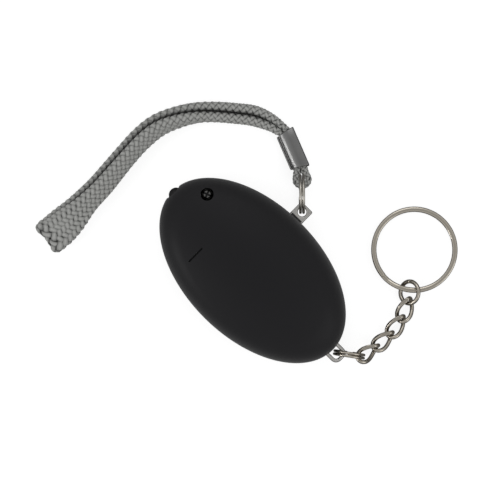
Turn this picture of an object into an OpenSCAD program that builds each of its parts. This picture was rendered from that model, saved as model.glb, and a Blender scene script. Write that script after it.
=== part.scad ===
// Personal safety alarm: a pebble-shaped siren with a pull pin on a wrist strap, and a key chain.
// It lies on its front cover, and the origin is the middle of that flat resting face.
// +Z runs up through the rear cover, +Y to the push button, -Y to the key chain, +X to the pull pin.

/* [Casing] */
// Length of the casing along Y
casing_l = 65; // [63:0.5:70]
// Width of the casing along X
casing_w = 39; // [38:0.5:43]
// Height of the rear cover above the parting plane
rear_h = 10.5; // [10:0.25:12]
// Depth of the front cover below the parting plane
front_h = 7.5; // [7.5:0.25:8.5]
// Wall thickness of both covers
wall = 1.6; // [1.4:0.1:1.8]
// Radius of the rear cover's rounded edge, across the width
rear_edge_r = 8; // [7:0.25:9]
// Radius of the front cover's rounded edge, across the width
front_edge_r = 6.5; // [6:0.25:7]
// Depth by which the front dome is cut flat to rest on
rest_cut = 0.5; // [0.3:0.1:0.7]
// Height of the locating lip inside the parting line
lip_h = 1; // [0.8:0.1:1.4]
// Thickness of the locating lip
lip_t = 0.7; // [0.6:0.05:0.8]
// Width and depth of the shadow gap round the parting line
seam = 0.35; // [0.2:0.05:0.5]
// Length of the fine mark line moulded into the rear cover
mark_l = 5.8; // [4:0.1:8]
// Width of the mark line
mark_w = 0.4; // [0.3:0.05:0.6]
// Clearance of sliding and dropped-in fits
fit = 0.15; // [0.1:0.01:0.2]

/* [Cover screw] */
// Distance of the screw from the long axis
screw_x = 6.4; // [5.8:0.1:7]
// Distance of the screw from the button tip
screw_from_tip = 7.8; // [7.4:0.1:8.4]
// Diameter of the screw's recess in the rear cover
recess_d = 3.8; // [3.4:0.1:4]
// Depth of the recess at its middle
recess_deep = 2.6; // [2.4:0.1:3]
// Diameter of the screw's head
head_d = 2.8; // [2.4:0.1:3]
// Height of the screw's head
head_h = 1.2; // [1:0.1:1.4]
// Diameter of the screw's shank
shank_d = 1.7; // [1.4:0.1:2]
// Length of shank in the front cover's boss
bite = 3.4; // [2.6:0.1:3.6]
// Diameter of the screw bosses
boss_d = 4.6; // [4.2:0.1:5]

/* [Push button] */
// Diameter of the button cap
button_d = 4.2; // [3.6:0.1:4.6]
// Length of cap that stands out of its spot face
button_out = 1.6; // [1.2:0.1:2]
// Travel of the button
button_travel = 0.6; // [0.4:0.1:0.8]
// Diameter of the flange that keeps the button in
flange_d = 5.4; // [5.2:0.1:5.8]
// Thickness of the flange
flange_t = 0.8; // [0.6:0.1:1]
// Depth of the flat spot face at the casing's tip
spot_deep = 1; // [0.8:0.1:1.2]
// Diameter of the spot face
spot_d = 5.4; // [5:0.1:6]

/* [Pull pin] */
// Distance of the pin from the middle of the casing, along Y
pin_y = 1.7; // [0:0.1:3]
// Width of the pin's metal tab
tab_w = 4.65; // [4.2:0.05:5.2]
// Thickness of the tab
tab_t = 1.6; // [1.4:0.1:1.8]
// Length of tab outside the casing
tab_out = 4.6; // [4.2:0.1:5.4]
// Length of tab inside the casing's slot
tab_in = 2.2; // [1.8:0.1:2.6]
// Diameter of the eye through the tab
eye_d = 2.5; // [2.4:0.1:2.7]
// Distance of the eye from the tab's outer end
eye_edge = 2.1; // [1.9:0.1:2.3]
// Width of the insulating blade
blade_w = 3; // [2.4:0.1:3.4]
// Thickness of the insulating blade
blade_t = 0.8; // [0.6:0.05:1]
// Length of the blade beyond the tab
blade_l = 6.6; // [6:0.1:7]
// Outside diameter of the pin's split ring
pin_ring_od = 11.5; // [11:0.1:12.5]
// Wire thickness of the pin's split ring
pin_ring_wire = 0.8; // [0.7:0.05:0.85]

/* [Wrist strap] */
// Length of the metal ferrule
ferrule_l = 11.1; // [10:0.1:13]
// Width of the ferrule
ferrule_w = 5.2; // [5:0.1:5.6]
// Height of the ferrule
ferrule_h = 4.4; // [4.2:0.1:5]
// Wall of the ferrule
ferrule_wall = 0.4; // [0.3:0.05:0.45]
// Distance from the pin ring's wire to the ferrule
eye_reach = 2.9; // [2.7:0.1:3.4]
// Thickness of the braid where it is gripped
braid_grip_t = 1.8; // [1.6:0.05:1.9]
// Height of the braid where it is gripped
braid_grip_w = 3.2; // [2.8:0.1:3.4]
// Width of the braid at the far fold
braid_w = 8.4; // [7.5:0.1:9]
// Thickness of the free braid
braid_t = 2.3; // [2:0.1:2.5]
// Distance between the two legs of the free braid
leg_step = 3; // [2.9:0.05:3.3]
// Lean of the braid from upright at the far fold
fold_lean = 66; // [55:1:75]

/* [Key chain] */
// Wire thickness of the bail
bail_wire = 1.1; // [1:0.05:1.2]
// Outside width of the bail
bail_w = 5; // [4.8:0.1:5.6]
// Length of bail outside the casing
bail_out = 3.8; // [3.7:0.1:4.4]
// Corner radius of the bail at the middle of its wire
bail_corner = 1.4; // [1.3:0.05:1.5]
// Outside diameter of the split ring on the bail
chain_ring_od = 9.4; // [9.2:0.1:10]
// Wire thickness of that split ring
chain_ring_wire = 0.8; // [0.7:0.05:0.85]
// Wire thickness of the chain links
link_wire = 1.2; // [1.1:0.05:1.25]
// Inside length of a chain link
link_in_l = 6; // [5.8:0.1:6.6]
// Inside width of a chain link
link_in_w = 2.9; // [2.8:0.1:3.2]
// Twist of each link's ends
link_twist = 50; // [46:1:54]
// Outside diameter of the jump ring
jump_od = 7.6; // [7.4:0.1:8.2]
// Wire thickness of the jump ring
jump_wire = 1.2; // [1.1:0.05:1.25]
// Outside diameter of the key ring
key_ring_od = 25; // [22:0.5:30]
// Radial thickness of the key ring's wire
key_ring_t = 1.5; // [1.3:0.1:1.6]
// Height of one turn of the key ring's wire
key_ring_turn = 0.75; // [0.65:0.05:0.8]

/* [Sounder and power] */
// Diameter of the piezo sounder plate
piezo_d = 20; // [18:0.5:21]
// Thickness of the brass plate
piezo_t = 0.3; // [0.2:0.05:0.4]
// Thickness of the ceramic layer
ceramic_t = 0.25; // [0.2:0.05:0.3]
// Diameter of the ceramic layer
ceramic_d = 14; // [12:0.5:15]
// Distance of the sounder from the middle of the casing, along Y
piezo_y = 6.5; // [6:0.1:7]
// Height of the sounder's ledge above the resting face
piezo_z = 2.9; // [2.8:0.1:3.1]
// Diameter of one sound hole
hole_d = 1.2; // [0.8:0.1:1.4]
// Spacing of the rings of sound holes
hole_step = 2.4; // [2:0.1:2.6]
// Diameter of one button cell
cell_d = 11.6; // [11:0.1:11.6]
// Height of one button cell
cell_h = 5.4; // [5:0.1:5.4]
// Thickness of the battery contacts
contact_t = 0.3; // [0.2:0.05:0.4]
// Thickness of the circuit board
board_t = 1; // [0.8:0.1:1.2]
// Height of the board's top above the resting face
board_top = 6.2; // [6:0.05:6.3]
// Thickness of the pin switch's leaf contacts
leaf_t = 0.25; // [0.2:0.05:0.3]
// Width of the leaf contacts
leaf_w = 2.2; // [1.8:0.1:2.6]

/* [Hidden] */
$fn = 96;
tiny = 0.01;
wire_sides = 8;
ring_steps = 32;

// Finishes
shell_black = [0.13, 0.13, 0.14];
button_black = [0.06, 0.06, 0.065];
chrome = [0.78, 0.78, 0.77];
nickel = [0.70, 0.69, 0.66];
steel_grey = [0.42, 0.42, 0.42];
braid_grey = [0.50, 0.51, 0.50];
dark_steel = [0.22, 0.22, 0.23];
board_green = [0.07, 0.32, 0.18];
brass = [0.80, 0.64, 0.28];
ceramic_white = [0.88, 0.86, 0.80];
cell_steel = [0.80, 0.80, 0.81];
nylon_white = [0.90, 0.90, 0.87];
part_black = [0.05, 0.05, 0.05];
ferrite_grey = [0.24, 0.24, 0.25];
lead_red = [0.70, 0.08, 0.07];

// Small vector helpers
function heading(a) = [cos(a), sin(a), 0];
function unit(v) = v / norm(v);
function mix(a, b, f) = a + (b - a) * f;
function ease(f) = f * f * (3 - 2 * f);

// Casing profile: a dome arc that runs smoothly into an edge arc
function dome_r(r, edge, h) = (pow(r - edge, 2) + h * h - edge * edge) / (2 * (h - edge));
function join_x(r, edge, h) = (r - edge) * dome_r(r, edge, h) / (dome_r(r, edge, h) - edge);
function profile_z(x, r, edge, h) =
    x < join_x(r, edge, h)
        ? h - dome_r(r, edge, h) + sqrt(pow(dome_r(r, edge, h), 2) - x * x)
        : sqrt(max(0, edge * edge - pow(x - r + edge, 2)));
function oval_r(x, y) = norm([x, y * casing_w / casing_l]);
function rear_z(x, y) = front_h + profile_z(oval_r(x, y), casing_w / 2, rear_edge_r, rear_h);
parting_overlap = 1;

// Places along the casing
tip_y = casing_l / 2;
screw_y = tip_y - screw_from_tip;
screw_seat = rear_z(screw_x, screw_y) - recess_deep;
spot_y = tip_y - spot_deep;
cap_wall = 0.9;
flange_seat = spot_y - cap_wall;
mark_x = -8.4;
mark_from_tip = 17.75;
mark_y = tip_y - mark_from_tip;
mark_deep = 0.3;
lip_back = 0.4;
slot_room = 1.4;
flange_room = 1.2;
stem_r = 1.2;
seat_wall = 0.8;
seat_rim = 0.4;
ledge = 1.2;

// Pull pin and its ring
edge_x = casing_w / 2 * sqrt(1 - pow(pin_y / tip_y, 2));
tab_end = edge_x + tab_out;
eye_at = [tab_end - eye_edge, pin_y, front_h];
pin_ring_dir = 45;
pin_ring_drop = 1.2;
turn_gap = 0.1;
pin_ring_mid = (pin_ring_od - pin_ring_wire) / 2;
pin_ring_at = eye_at + heading(pin_ring_dir) * sqrt(pow(pin_ring_mid, 2) - pow(pin_ring_drop, 2))
    - [0, 0, pin_ring_drop];

// Strap: the eye hangs on the far side of the pin ring, and the ferrule slopes down from it
eye_drop = 2.2;
eye_lateral = 2.15;
eye_bend = 0.6;
eye_w = 2.4;
eye_dir = 54;
ferrule_dir = 68;
floor_gap = 0.05;
ring_wire_at = pin_ring_at + heading(pin_ring_dir) * sqrt(pow(pin_ring_mid, 2) - pow(eye_drop, 2))
    - [0, 0, eye_drop];
ferrule_far_z = ferrule_h / 2 + floor_gap;
ferrule_rise = 0.9;
mouth_in = [ring_wire_at[0] + eye_reach * cos(eye_dir), ring_wire_at[1] + eye_reach * sin(eye_dir),
    ferrule_far_z + ferrule_rise];
ferrule_axis = unit([cos(ferrule_dir), sin(ferrule_dir), -ferrule_rise / ferrule_l]);
ferrule_side = [-sin(ferrule_dir), cos(ferrule_dir), 0];
mouth_out = mouth_in + ferrule_axis * ferrule_l;
ferrule_mid = (mouth_in + mouth_out) / 2;
braid_gap = 0.1;
grip_step = braid_grip_t + braid_gap;
neck_in = 0.1;
flare_out = 1.2;
flare_share = 0.86;
flare_drop = 0.35;

// Route of the strap's middle, from the ferrule's outer mouth to the far fold
STRAP_ROUTE = [
    [0, 0], [-1.5, 4.5], [-3.5, 9.5], [-6.5, 14], [-10, 18.5], [-14, 22], [-19, 25], [-24.5, 27.5],
    [-30.5, 28.5], [-36.5, 28.5], [-42.5, 28], [-48.5, 27.5], [-54.5, 27.5], [-60.5, 27],
    [-66, 27], [-68.5, 27]];
strap_last = len(STRAP_ROUTE) - 1;
fold_steps = 6;
bloom = 0.13;
bloom_share = 0.25;
grip_gap = 0.3;
grip_start = ferrule_mid + ferrule_axis * grip_gap;
grip_end = ferrule_mid - ferrule_axis * grip_gap;

// Key chain: headings, pitches and rolls of the four links, and the slack before each
bail_leg_x = (bail_w - bail_wire) / 2;
bail_end_y = -tip_y - bail_out + bail_wire / 2;
bail_corner_at = [bail_leg_x - bail_corner, bail_end_y + bail_corner, front_h];
bail_in = 4.2;
bail_foot_y = -tip_y + bail_in;
bail_foot_x = 4.2;
bail_knee = 0.7;
block_margin = 1.2;
block_from_tip = 1;
block_l = 4.6;
block_h = 3;
chain_ring_dir = -54;
chain_ring_mid = (chain_ring_od - chain_ring_wire) / 2;
chain_ring_lift = 0.2;
chain_ring_z = chain_ring_od / 2 + chain_ring_lift;
bail_slack = 0.25;
bail_touch = chain_ring_od / 2 - chain_ring_wire - bail_wire / 2 - bail_slack;
chain_ring_at = [bail_corner_at[0], bail_corner_at[1], chain_ring_z] + heading(chain_ring_dir)
    * (bail_corner + sqrt(pow(bail_touch, 2) - pow(front_h - chain_ring_z, 2)));
LINK_DIR = [-10, -4, 9, 23];
LINK_PITCH = [13.5, 2.5, -1, -1.5];
LINK_ROLL = [39, 32, 24, 19];
LINK_SLACK = [0, 0.3, 0.4, 0.5];
LINK_LIFT = [0, 0.2, -0.1, -0.05];
link_half = (link_in_l + link_wire) / 2;
link_side = (link_in_w + link_wire) / 2;
link_round = 2.3;
first_drop = 1.3;
first_slack = 0.65;
first_reach = link_wire / 2 + chain_ring_wire / 2 + first_slack;
first_at = chain_ring_at + heading(chain_ring_dir) * sqrt(pow(chain_ring_mid, 2) - pow(first_drop, 2))
    - [0, 0, first_drop];
function link_way(i) = [cos(LINK_PITCH[i]) * cos(LINK_DIR[i]), cos(LINK_PITCH[i]) * sin(LINK_DIR[i]),
    -sin(LINK_PITCH[i])];
function link_start(i) = i == 0
    ? first_at - first_reach * link_way(0)
    : link_end(i - 1) - (link_wire + LINK_SLACK[i]) * heading((LINK_DIR[i - 1] + LINK_DIR[i]) / 2)
        + [0, 0, LINK_LIFT[i]];
function link_end(i) = link_start(i) + 2 * link_half * link_way(i);
jump_dir = 41;
jump_tilt = -38;
jump_slack = 0.35;
jump_lift = 0.3;
jump_mid = (jump_od - jump_wire) / 2;
jump_at = link_end(3) + [0, 0, jump_lift] + jump_mid * heading(jump_dir)
    - ((link_wire + jump_wire) / 2 + jump_slack) * heading((LINK_DIR[3] + jump_dir) / 2);
key_ring_dir = 38;
key_ring_offset = 0.7;
key_ring_mid = (key_ring_od - key_ring_t) / 2;
key_ring_near_z = jump_at[2];
key_ring_far_z = key_ring_turn + turn_gap;
key_ring_flat = jump_at + (key_ring_mid + key_ring_offset) * heading(key_ring_dir);
key_ring_at = [key_ring_flat[0], key_ring_flat[1], (key_ring_near_z + key_ring_far_z) / 2];
key_ring_tilt = asin((key_ring_near_z - key_ring_far_z) / (2 * key_ring_mid));

// Inside of the casing
cell_y = -12;
cell_lift = 0.85;
cell_z = front_h + cell_lift;
cap_inset = 1.2;
rack_gap = 0.3;
rack_t = 1;
rack_lift = 1.5;
rack_top = front_h + rack_lift;
spring_l = 2.2;
stack_x = 1.5 * cell_h;
contact_low = 1.6;
contact_high = 2.4;
bow_half = 1;
tail_drop = 3;
board_bottom = board_top - board_t;
board_low_y = -3.5;
board_high_y = 20;
board_half = 13.4;
board_cut_x = 3.4;
board_cut_y = 6;
tongue_half = 3.4;
tongue_from_tip = 5.7;
tongue_y = tip_y - tongue_from_tip;
post_d = 4;
post_x = 11.4;
POST_Y = [-1, 12.5];
board_screw_d = 1.6;
board_screw_head = 2.8;
board_head_h = 1;
thread_bite = 0.2;
pilot_d = board_screw_d - thread_bite;
pilot_deep = 1.6;
pilot_spare = 0.4;
thread_gap = 0.04;
switch_w = 4.6;
switch_l = 3.8;
switch_h = 3.2;
switch_back = 0.4;
switch_y = tongue_y - switch_back;
plunger_d = 1.6;
plunger_out = 0.85;
plunger_in = 1.2;
plunger_room = 0.2;
blade_tip = edge_x - tab_in - blade_l;
leaf_reach = 3.6;
leaf_gap = 0.05;
leaf_foot = 1.6;
leaf_lower_back = 2.4;
leaf_upper_back = 5;
coil_x = -5.5;
coil_y = 6;
chip_x = 3.5;
chip_y = 12.5;
transistor_x = -7;
transistor_y = 14.5;
capacitor_x = 4;
capacitor_y = 6;
capacitor_d = 4;
capacitor_h = 5.4;
lead_d = 0.8;
lead_stub = 0.45;
red_lead_x = -3;
red_lead_slope = -1.2;
black_lead_slope = 0.9;

// Solids between rings of points, open with flat ends or closed on themselves
module loft(rings, closed = false) {
    n = len(rings);
    m = len(rings[0]);
    spans = closed ? n : n - 1;
    points = [for (ring = rings, p = ring) p];
    sides = [for (i = [0:spans - 1], j = [0:m - 1], half = [0, 1])
        let (a = i * m, b = ((i + 1) % n) * m, k = (j + 1) % m)
        half == 0 ? [a + j, b + j, b + k] : [a + j, b + k, a + k]];
    first = [for (j = [1:m - 2]) [0, j, j + 1]];
    last = [for (j = [1:m - 2]) [(n - 1) * m, (n - 1) * m + j + 1, (n - 1) * m + j]];
    polyhedron(points, closed ? sides : concat(sides, first, last), convexity = 8);
}

// Ring of points round p, in the plane of u and v
function oval_ring(p, u, v, a, b, sides) =
    [for (j = [0:sides - 1]) let (q = (j + 0.5) * 360 / sides) p + u * a * cos(q) + v * b * sin(q)];

// Flattened eight-sided section of the braid: w across, t through
function band_ring(p, across, through, w, t) =
    let (corner = 0.5)
    [for (q = [[1, corner], [corner, 1], [-corner, 1], [-1, corner],
               [-1, -corner], [-corner, -1], [corner, -1], [1, -corner]])
        p + across * (w / 2 - (abs(q[0]) < 1 ? t * 0.4 : 0)) * sign(q[0]) + through * q[1] * t / 2];

// Round wire along points, seen from a fixed direction that is never along the wire
function wire_rings(points, d, up) =
    let (n = len(points))
    [for (i = [0:n - 1])
        let (along = unit(points[min(i + 1, n - 1)] - points[max(i - 1, 0)]),
             u = unit(cross(up, along)), v = cross(along, u))
        oval_ring(points[i], u, v, d / 2, d / 2, wire_sides)];

// Two-turn split ring round Z: the wire climbs one layer just before it passes over its own start
module split_ring(od, radial, turn) {
    mid = (od - radial) / 2;
    step = turn + turn_gap;
    climb_from = 332;
    climb_to = 356;
    last = 686;
    corner = 0.3;
    function climb(q) = ease(min(1, max(0, (q - climb_from) / (climb_to - climb_from))));
    angles = concat(
        [for (i = [0:ring_steps - 1]) climb_from * i / ring_steps],
        [for (i = [0:5]) mix(climb_from, climb_to, i / 6)],
        [for (i = [0:ring_steps]) mix(climb_to, last, i / ring_steps)]);
    loft([for (q = angles)
        let (out = heading(q), z = (climb(q) - 0.5) * step)
        [for (c = [[1, corner], [corner, 1], [-corner, 1], [-1, corner],
                   [-1, -corner], [-corner, -1], [corner, -1], [1, -corner]])
            out * (mid + c[0] * radial / 2) + [0, 0, z + c[1] * turn / 2]]]);
}

// One curb link along X, its two ends twisted opposite ways
module curb_link() {
    function sgn_pow(v) = sign(v) * pow(abs(v), 2 / link_round);
    function at(q) =
        let (x = link_half * sgn_pow(cos(q)), y = link_side * sgn_pow(sin(q)),
             turn = link_twist * x / link_half)
        [x, y * cos(turn), y * sin(turn)];
    step = 360 / ring_steps;
    loft([for (i = [0:ring_steps - 1])
        let (q = (i + 0.5) * step, p = at(q), along = unit(at(q + 1) - at(q - 1)),
             u = unit(p - along * (p * along)), v = cross(along, u))
        oval_ring(p, u, v, link_wire / 2, link_wire / 2, wire_sides)], closed = true);
}

module chain_link(i) {
    color(nickel)
        translate((link_start(i) + link_end(i)) / 2)
            rotate([LINK_ROLL[i], LINK_PITCH[i], LINK_DIR[i]])
                curb_link();
}

// Dome and edge arcs as a flat profile; the dome sits a hair low so that the two arcs cross cleanly
module half_profile(r, edge, h) {
    dome = dome_r(r, edge, h);
    hair = 0.001;
    intersection() {
        translate([0, h - hair - dome]) circle(dome, $fn = 360);
        translate([0, -parting_overlap]) square([join_x(r, edge, h), h + parting_overlap]);
    }
    intersection() {
        translate([r - edge, 0]) circle(edge, $fn = 90);
        translate([r - edge, -parting_overlap]) square([edge + tiny, h + parting_overlap]);
    }
}

// Round pebble stretched along Y, turned a quarter at a time
module pebble(inset, edge, h) {
    for (quarter = [0:3])
        scale([1, (casing_l - 2 * inset) / (casing_w - 2 * inset), 1])
            rotate_extrude(angle = 90, start = quarter * 90)
                half_profile(casing_w / 2 - inset, edge - inset, h - inset);
}

module rear_mass(inset) {
    translate([0, 0, front_h]) pebble(inset, rear_edge_r, rear_h);
}

module front_mass(inset) {
    translate([0, 0, front_h]) mirror([0, 0, 1]) pebble(inset, front_edge_r, front_h + rest_cut);
}

module oval_plate(inset, h) {
    scale([1, (casing_l - 2 * inset) / (casing_w - 2 * inset), 1]) cylinder(d = casing_w - 2 * inset, h = h);
}

module oval_band(outer_inset, inner_inset, h) {
    difference() {
        oval_plate(outer_inset, h);
        translate([0, 0, -tiny]) oval_plate(inner_inset, h + 2 * tiny);
    }
}

// Half space above or below a height
module above(z) {
    translate([-casing_w, -casing_l, z]) cube([2 * casing_w, 2 * casing_l, casing_w]);
}

module below(z) {
    translate([-casing_w, -casing_l, z - casing_w]) cube([2 * casing_w, 2 * casing_l, casing_w]);
}

module along_y(d, from, to) {
    translate([0, from, front_h]) rotate([-90, 0, 0]) cylinder(d = d, h = to - from);
}

// Openings that both covers share: pin slot, button bore and bail grooves
module shared_openings() {
    slot_top = max(tab_t / 2 + fit, lip_h + fit);
    translate([edge_x - tab_in - slot_room, pin_y - tab_w / 2 - fit, front_h - tab_t / 2 - fit])
        cube([casing_w, tab_w + 2 * fit, tab_t / 2 + fit + slot_top]);
    along_y(button_d + 2 * fit, flange_seat - tiny, tip_y + 1);
    along_y(flange_d + 2 * fit, flange_seat - button_travel - flange_t - flange_room, flange_seat);
    along_y(spot_d, spot_y, tip_y + 1);
    for (side = [-1, 1])
        translate([side * bail_leg_x, 0, 0]) along_y(bail_wire + 2 * fit, -tip_y - 1, bail_foot_y);
    translate([-bail_foot_x - fit, bail_foot_y, front_h])
        rotate([0, 90, 0]) cylinder(d = bail_wire + 2 * fit, h = 2 * (bail_foot_x + fit));
}

module bail_block(z, h) {
    block_x = bail_foot_x + block_margin;
    translate([-block_x, -tip_y + block_from_tip, z]) cube([2 * block_x, block_l, h]);
}

module rear_cover() {
    boss_top = front_h + rear_h;
    color(shell_black) difference() {
        union() {
            intersection() {
                difference() {
                    rear_mass(0);
                    rear_mass(wall);
                }
                above(front_h);
            }
            intersection() {
                rear_mass(wall / 2);
                union() {
                    translate([screw_x, screw_y, front_h]) cylinder(d = boss_d, h = boss_top);
                    bail_block(front_h, block_h);
                }
            }
        }
        translate([0, 0, front_h - parting_overlap])
            oval_band(wall - lip_t - fit, wall + lip_back, parting_overlap + lip_h + fit);
        translate([screw_x, screw_y, front_h - parting_overlap])
            cylinder(d = shank_d + 2 * fit, h = boss_top);
        translate([screw_x, screw_y, screw_seat]) cylinder(d = recess_d, h = boss_top);
        mark_groove();
        shared_openings();
    }
}

module mark_groove() {
    left = rear_z(mark_x - mark_l / 2, mark_y);
    right = rear_z(mark_x + mark_l / 2, mark_y);
    translate([mark_x, mark_y, rear_z(mark_x, mark_y)])
        rotate([0, -atan2(right - left, mark_l), 0])
            translate([-mark_l / 2, -mark_w / 2, -mark_deep]) cube([mark_l, mark_w, 2 * mark_deep]);
}

module sound_holes() {
    translate([0, piezo_y, -1]) {
        cylinder(d = hole_d, h = piezo_z);
        for (ring = [1, 2], i = [0:6 * ring - 1])
            rotate(i * 60 / ring) translate([ring * hole_step, 0, 0]) cylinder(d = hole_d, h = piezo_z);
    }
}

// Ribs that hold the cells and their contacts
module battery_rack() {
    side = cell_d / 2 + rack_gap;
    for (s = [-1, 1])
        translate([-stack_x, cell_y + s * (side + rack_t / 2) - rack_t / 2, 0])
            cube([2 * stack_x, rack_t, rack_top]);
    translate([stack_x + contact_t, cell_y - side, 0]) cube([rack_t, 2 * side, rack_top]);
    translate([-stack_x - spring_l - rack_t, cell_y - side, 0]) cube([rack_t, 2 * side, rack_top]);
}

module front_cover() {
    seat_d = piezo_d + 2 * fit;
    color(shell_black) difference() {
        union() {
            intersection() {
                difference() {
                    front_mass(0);
                    front_mass(wall);
                }
                below(front_h);
                above(0);
            }
            translate([0, 0, front_h - lip_h / 2]) oval_band(wall - lip_t, wall + 0.1, 1.5 * lip_h);
            intersection() {
                front_mass(wall / 2);
                union() {
                    translate([screw_x, screw_y, 0]) cylinder(d = boss_d, h = front_h);
                    translate([0, 0, front_h - casing_w]) bail_block(0, casing_w);
                    translate([0, piezo_y, 0])
                        cylinder(d = seat_d + 2 * seat_wall, h = piezo_z + piezo_t + seat_rim);
                    for (s = [-1, 1], y = POST_Y)
                        translate([s * post_x, y, 0]) cylinder(d = post_d, h = board_bottom);
                }
            }
            intersection() {
                union() {
                    front_mass(wall / 2);
                    translate([0, 0, front_h - tiny]) oval_plate(wall + 2, casing_w);
                }
                battery_rack();
            }
        }
        translate([0, piezo_y, piezo_z]) cylinder(d = seat_d, h = casing_w);
        intersection() {
            front_mass(wall);
            translate([0, piezo_y, 0]) cylinder(d = piezo_d - 2 * ledge, h = casing_w);
        }
        sound_holes();
        translate([screw_x, screw_y, front_h - bite - pilot_spare]) cylinder(d = shank_d, h = casing_w);
        for (s = [-1, 1])
            translate([s * post_x, POST_Y[1], board_bottom - pilot_deep])
                cylinder(d = pilot_d, h = casing_w);
        translate([0, 0, front_h - seam])
            difference() {
                oval_plate(-1, seam + tiny);
                translate([0, 0, -tiny]) oval_plate(seam, seam + 3 * tiny);
            }
        shared_openings();
    }
}

// Pan-head screw standing on z = 0 with its shank below
module pan_screw(d, h, shank, l) {
    slot_w = d * 0.2;
    difference() {
        union() {
            cylinder(d = d, h = h * 0.6);
            translate([0, 0, h * 0.6 - tiny]) cylinder(d1 = d, d2 = d * 0.7, h = h * 0.4 + tiny);
            translate([0, 0, -l]) cylinder(d = shank, h = l + tiny);
        }
        for (turn = [0, 90])
            rotate(turn) translate([-d * 0.34, -slot_w / 2, h * 0.45]) cube([d * 0.68, slot_w, h]);
    }
}

module cover_screw() {
    color(dark_steel)
        translate([screw_x, screw_y, screw_seat])
            rotate(20) pan_screw(head_d, head_h, shank_d - thread_gap, screw_seat - front_h + bite);
}

module push_button() {
    cap_from = flange_seat - fit - flange_t;
    crown = 0.24 * button_d;
    stem_end = switch_y + plunger_out;
    color(button_black) union() {
        translate([0, 0, front_h]) rotate([-90, 0, 0]) rotate_extrude() {
            translate([0, cap_from]) square([flange_d / 2, flange_t]);
            translate([0, cap_from]) square([button_d / 2, spot_y + button_out - crown - cap_from]);
            translate([0, cap_from]) square([button_d / 2 - crown, spot_y + button_out - cap_from]);
            translate([button_d / 2 - crown, spot_y + button_out - crown]) circle(crown);
            translate([0, stem_end]) square([stem_r, cap_from - stem_end + tiny]);
        }
    }
}

module pull_pin_tab() {
    corner = 0.7;
    inner = edge_x - tab_in;
    color(chrome) translate([0, pin_y, front_h - tab_t / 2]) difference() {
        linear_extrude(tab_t) {
            translate([inner, -tab_w / 2]) square([tab_end - inner - corner, tab_w]);
            translate([inner, -tab_w / 2 + corner]) square([tab_end - inner, tab_w - 2 * corner]);
            for (s = [-1, 1])
                translate([tab_end - corner, s * (tab_w / 2 - corner)]) circle(corner);
        }
        translate([tab_end - eye_edge, 0, -1]) cylinder(d = eye_d, h = tab_t + 2);
        translate([inner - 1, -blade_w / 2, (tab_t - blade_t) / 2]) cube([1 + tab_in / 2, blade_w, blade_t]);
    }
}

module pull_pin_blade() {
    color(nylon_white)
        translate([blade_tip, pin_y - blade_w / 2, front_h - blade_t / 2])
            cube([blade_l + tab_in / 2, blade_w, blade_t]);
}

module pin_ring() {
    color(nickel)
        translate(pin_ring_at)
            rotate([0, 0, pin_ring_dir]) rotate([90, 0, 0]) rotate(100)
                split_ring(pin_ring_od, pin_ring_wire, pin_ring_wire);
}

module ferrule_outline(inset) {
    corner = 1.5 - inset;
    w = ferrule_w - 2 * inset;
    h = ferrule_h - 2 * inset;
    square([w - 2 * corner, h], center = true);
    square([w, h - 2 * corner], center = true);
    for (sx = [-1, 1], sy = [-1, 1])
        translate([sx * (w / 2 - corner), sy * (h / 2 - corner)]) circle(corner);
}

module strap_ferrule() {
    color(steel_grey)
        translate(mouth_in)
            rotate([0, 90 + asin(ferrule_rise / ferrule_l), ferrule_dir]) rotate(90)
                linear_extrude(ferrule_l) difference() {
                    ferrule_outline(0);
                    ferrule_outline(ferrule_wall);
                }
}

// Small loop of braid round the pin ring, from the middle of the ferrule out and back
function eye_points() =
    let (far = mouth_in - heading(eye_dir) * (eye_reach + eye_bend)
             + [0, 0, ring_wire_at[2] - mouth_in[2]],
         out = -heading(eye_dir), left = [sin(eye_dir), -cos(eye_dir), 0],
         neck = mouth_in - ferrule_axis * neck_in,
         flare = mouth_in + out * flare_out + [0, 0, (ring_wire_at[2] - mouth_in[2]) * flare_drop])
    concat(
        [for (p = [grip_end, neck]) p + ferrule_side * grip_step / 2],
        [flare - left * eye_lateral * flare_share],
        [for (q = [-90:30:90]) far + left * eye_lateral * sin(q) + out * eye_lateral * cos(q)],
        [flare + left * eye_lateral * flare_share],
        [for (p = [neck, grip_end]) p - ferrule_side * grip_step / 2]);

module strap_eye() {
    points = eye_points();
    n = len(points);
    color(braid_grey) loft([for (i = [0:n - 1])
        let (along = i == 0 || i == n - 1
                 ? ferrule_axis * (i == 0 ? -1 : 1)
                 : unit(points[i + 1] - points[i - 1]),
             through = unit(cross([0, 0, 1], along)), across = cross(along, through),
             gripped = i < 2 || i > n - 3)
        band_ring(points[i], across, through, gripped ? braid_grip_w : eye_w, braid_grip_t)]);
}

// The free braid: lean, width, thickness and step between legs, by fraction of the way to the fold
function strap_lean(f) = fold_lean * ease(min(1, f * 1.15));
function strap_spread(f) = f < bloom
    ? bloom_share * ease(f / bloom)
    : mix(bloom_share, 1, ease((f - bloom) / (1 - bloom)));
function strap_w(f) = mix(braid_grip_w, braid_w, strap_spread(f));
function strap_t(f) = mix(braid_grip_t, braid_t, ease(min(1, f / bloom)));
function strap_step(f) = mix(grip_step, leg_step, ease(min(1, f / bloom)));
function strap_out(i) =
    let (way = STRAP_ROUTE[min(i + 1, strap_last)] - STRAP_ROUTE[max(i - 1, 0)])
    i == 0 ? -ferrule_side : unit([way[1], -way[0], 0]);
function strap_z(f) = max(mouth_out[2], floor_gap + strap_w(f) / 2 * cos(strap_lean(f))
    + (strap_t(f) + strap_step(f)) / 2 * sin(strap_lean(f)));
function strap_mid(i) = [mouth_out[0] + STRAP_ROUTE[i][0], mouth_out[1] + STRAP_ROUTE[i][1],
    strap_z(i / strap_last)];
function strap_across(i) = let (lean = strap_lean(i / strap_last))
    strap_out(i) * sin(lean) + [0, 0, cos(lean)];
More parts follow.
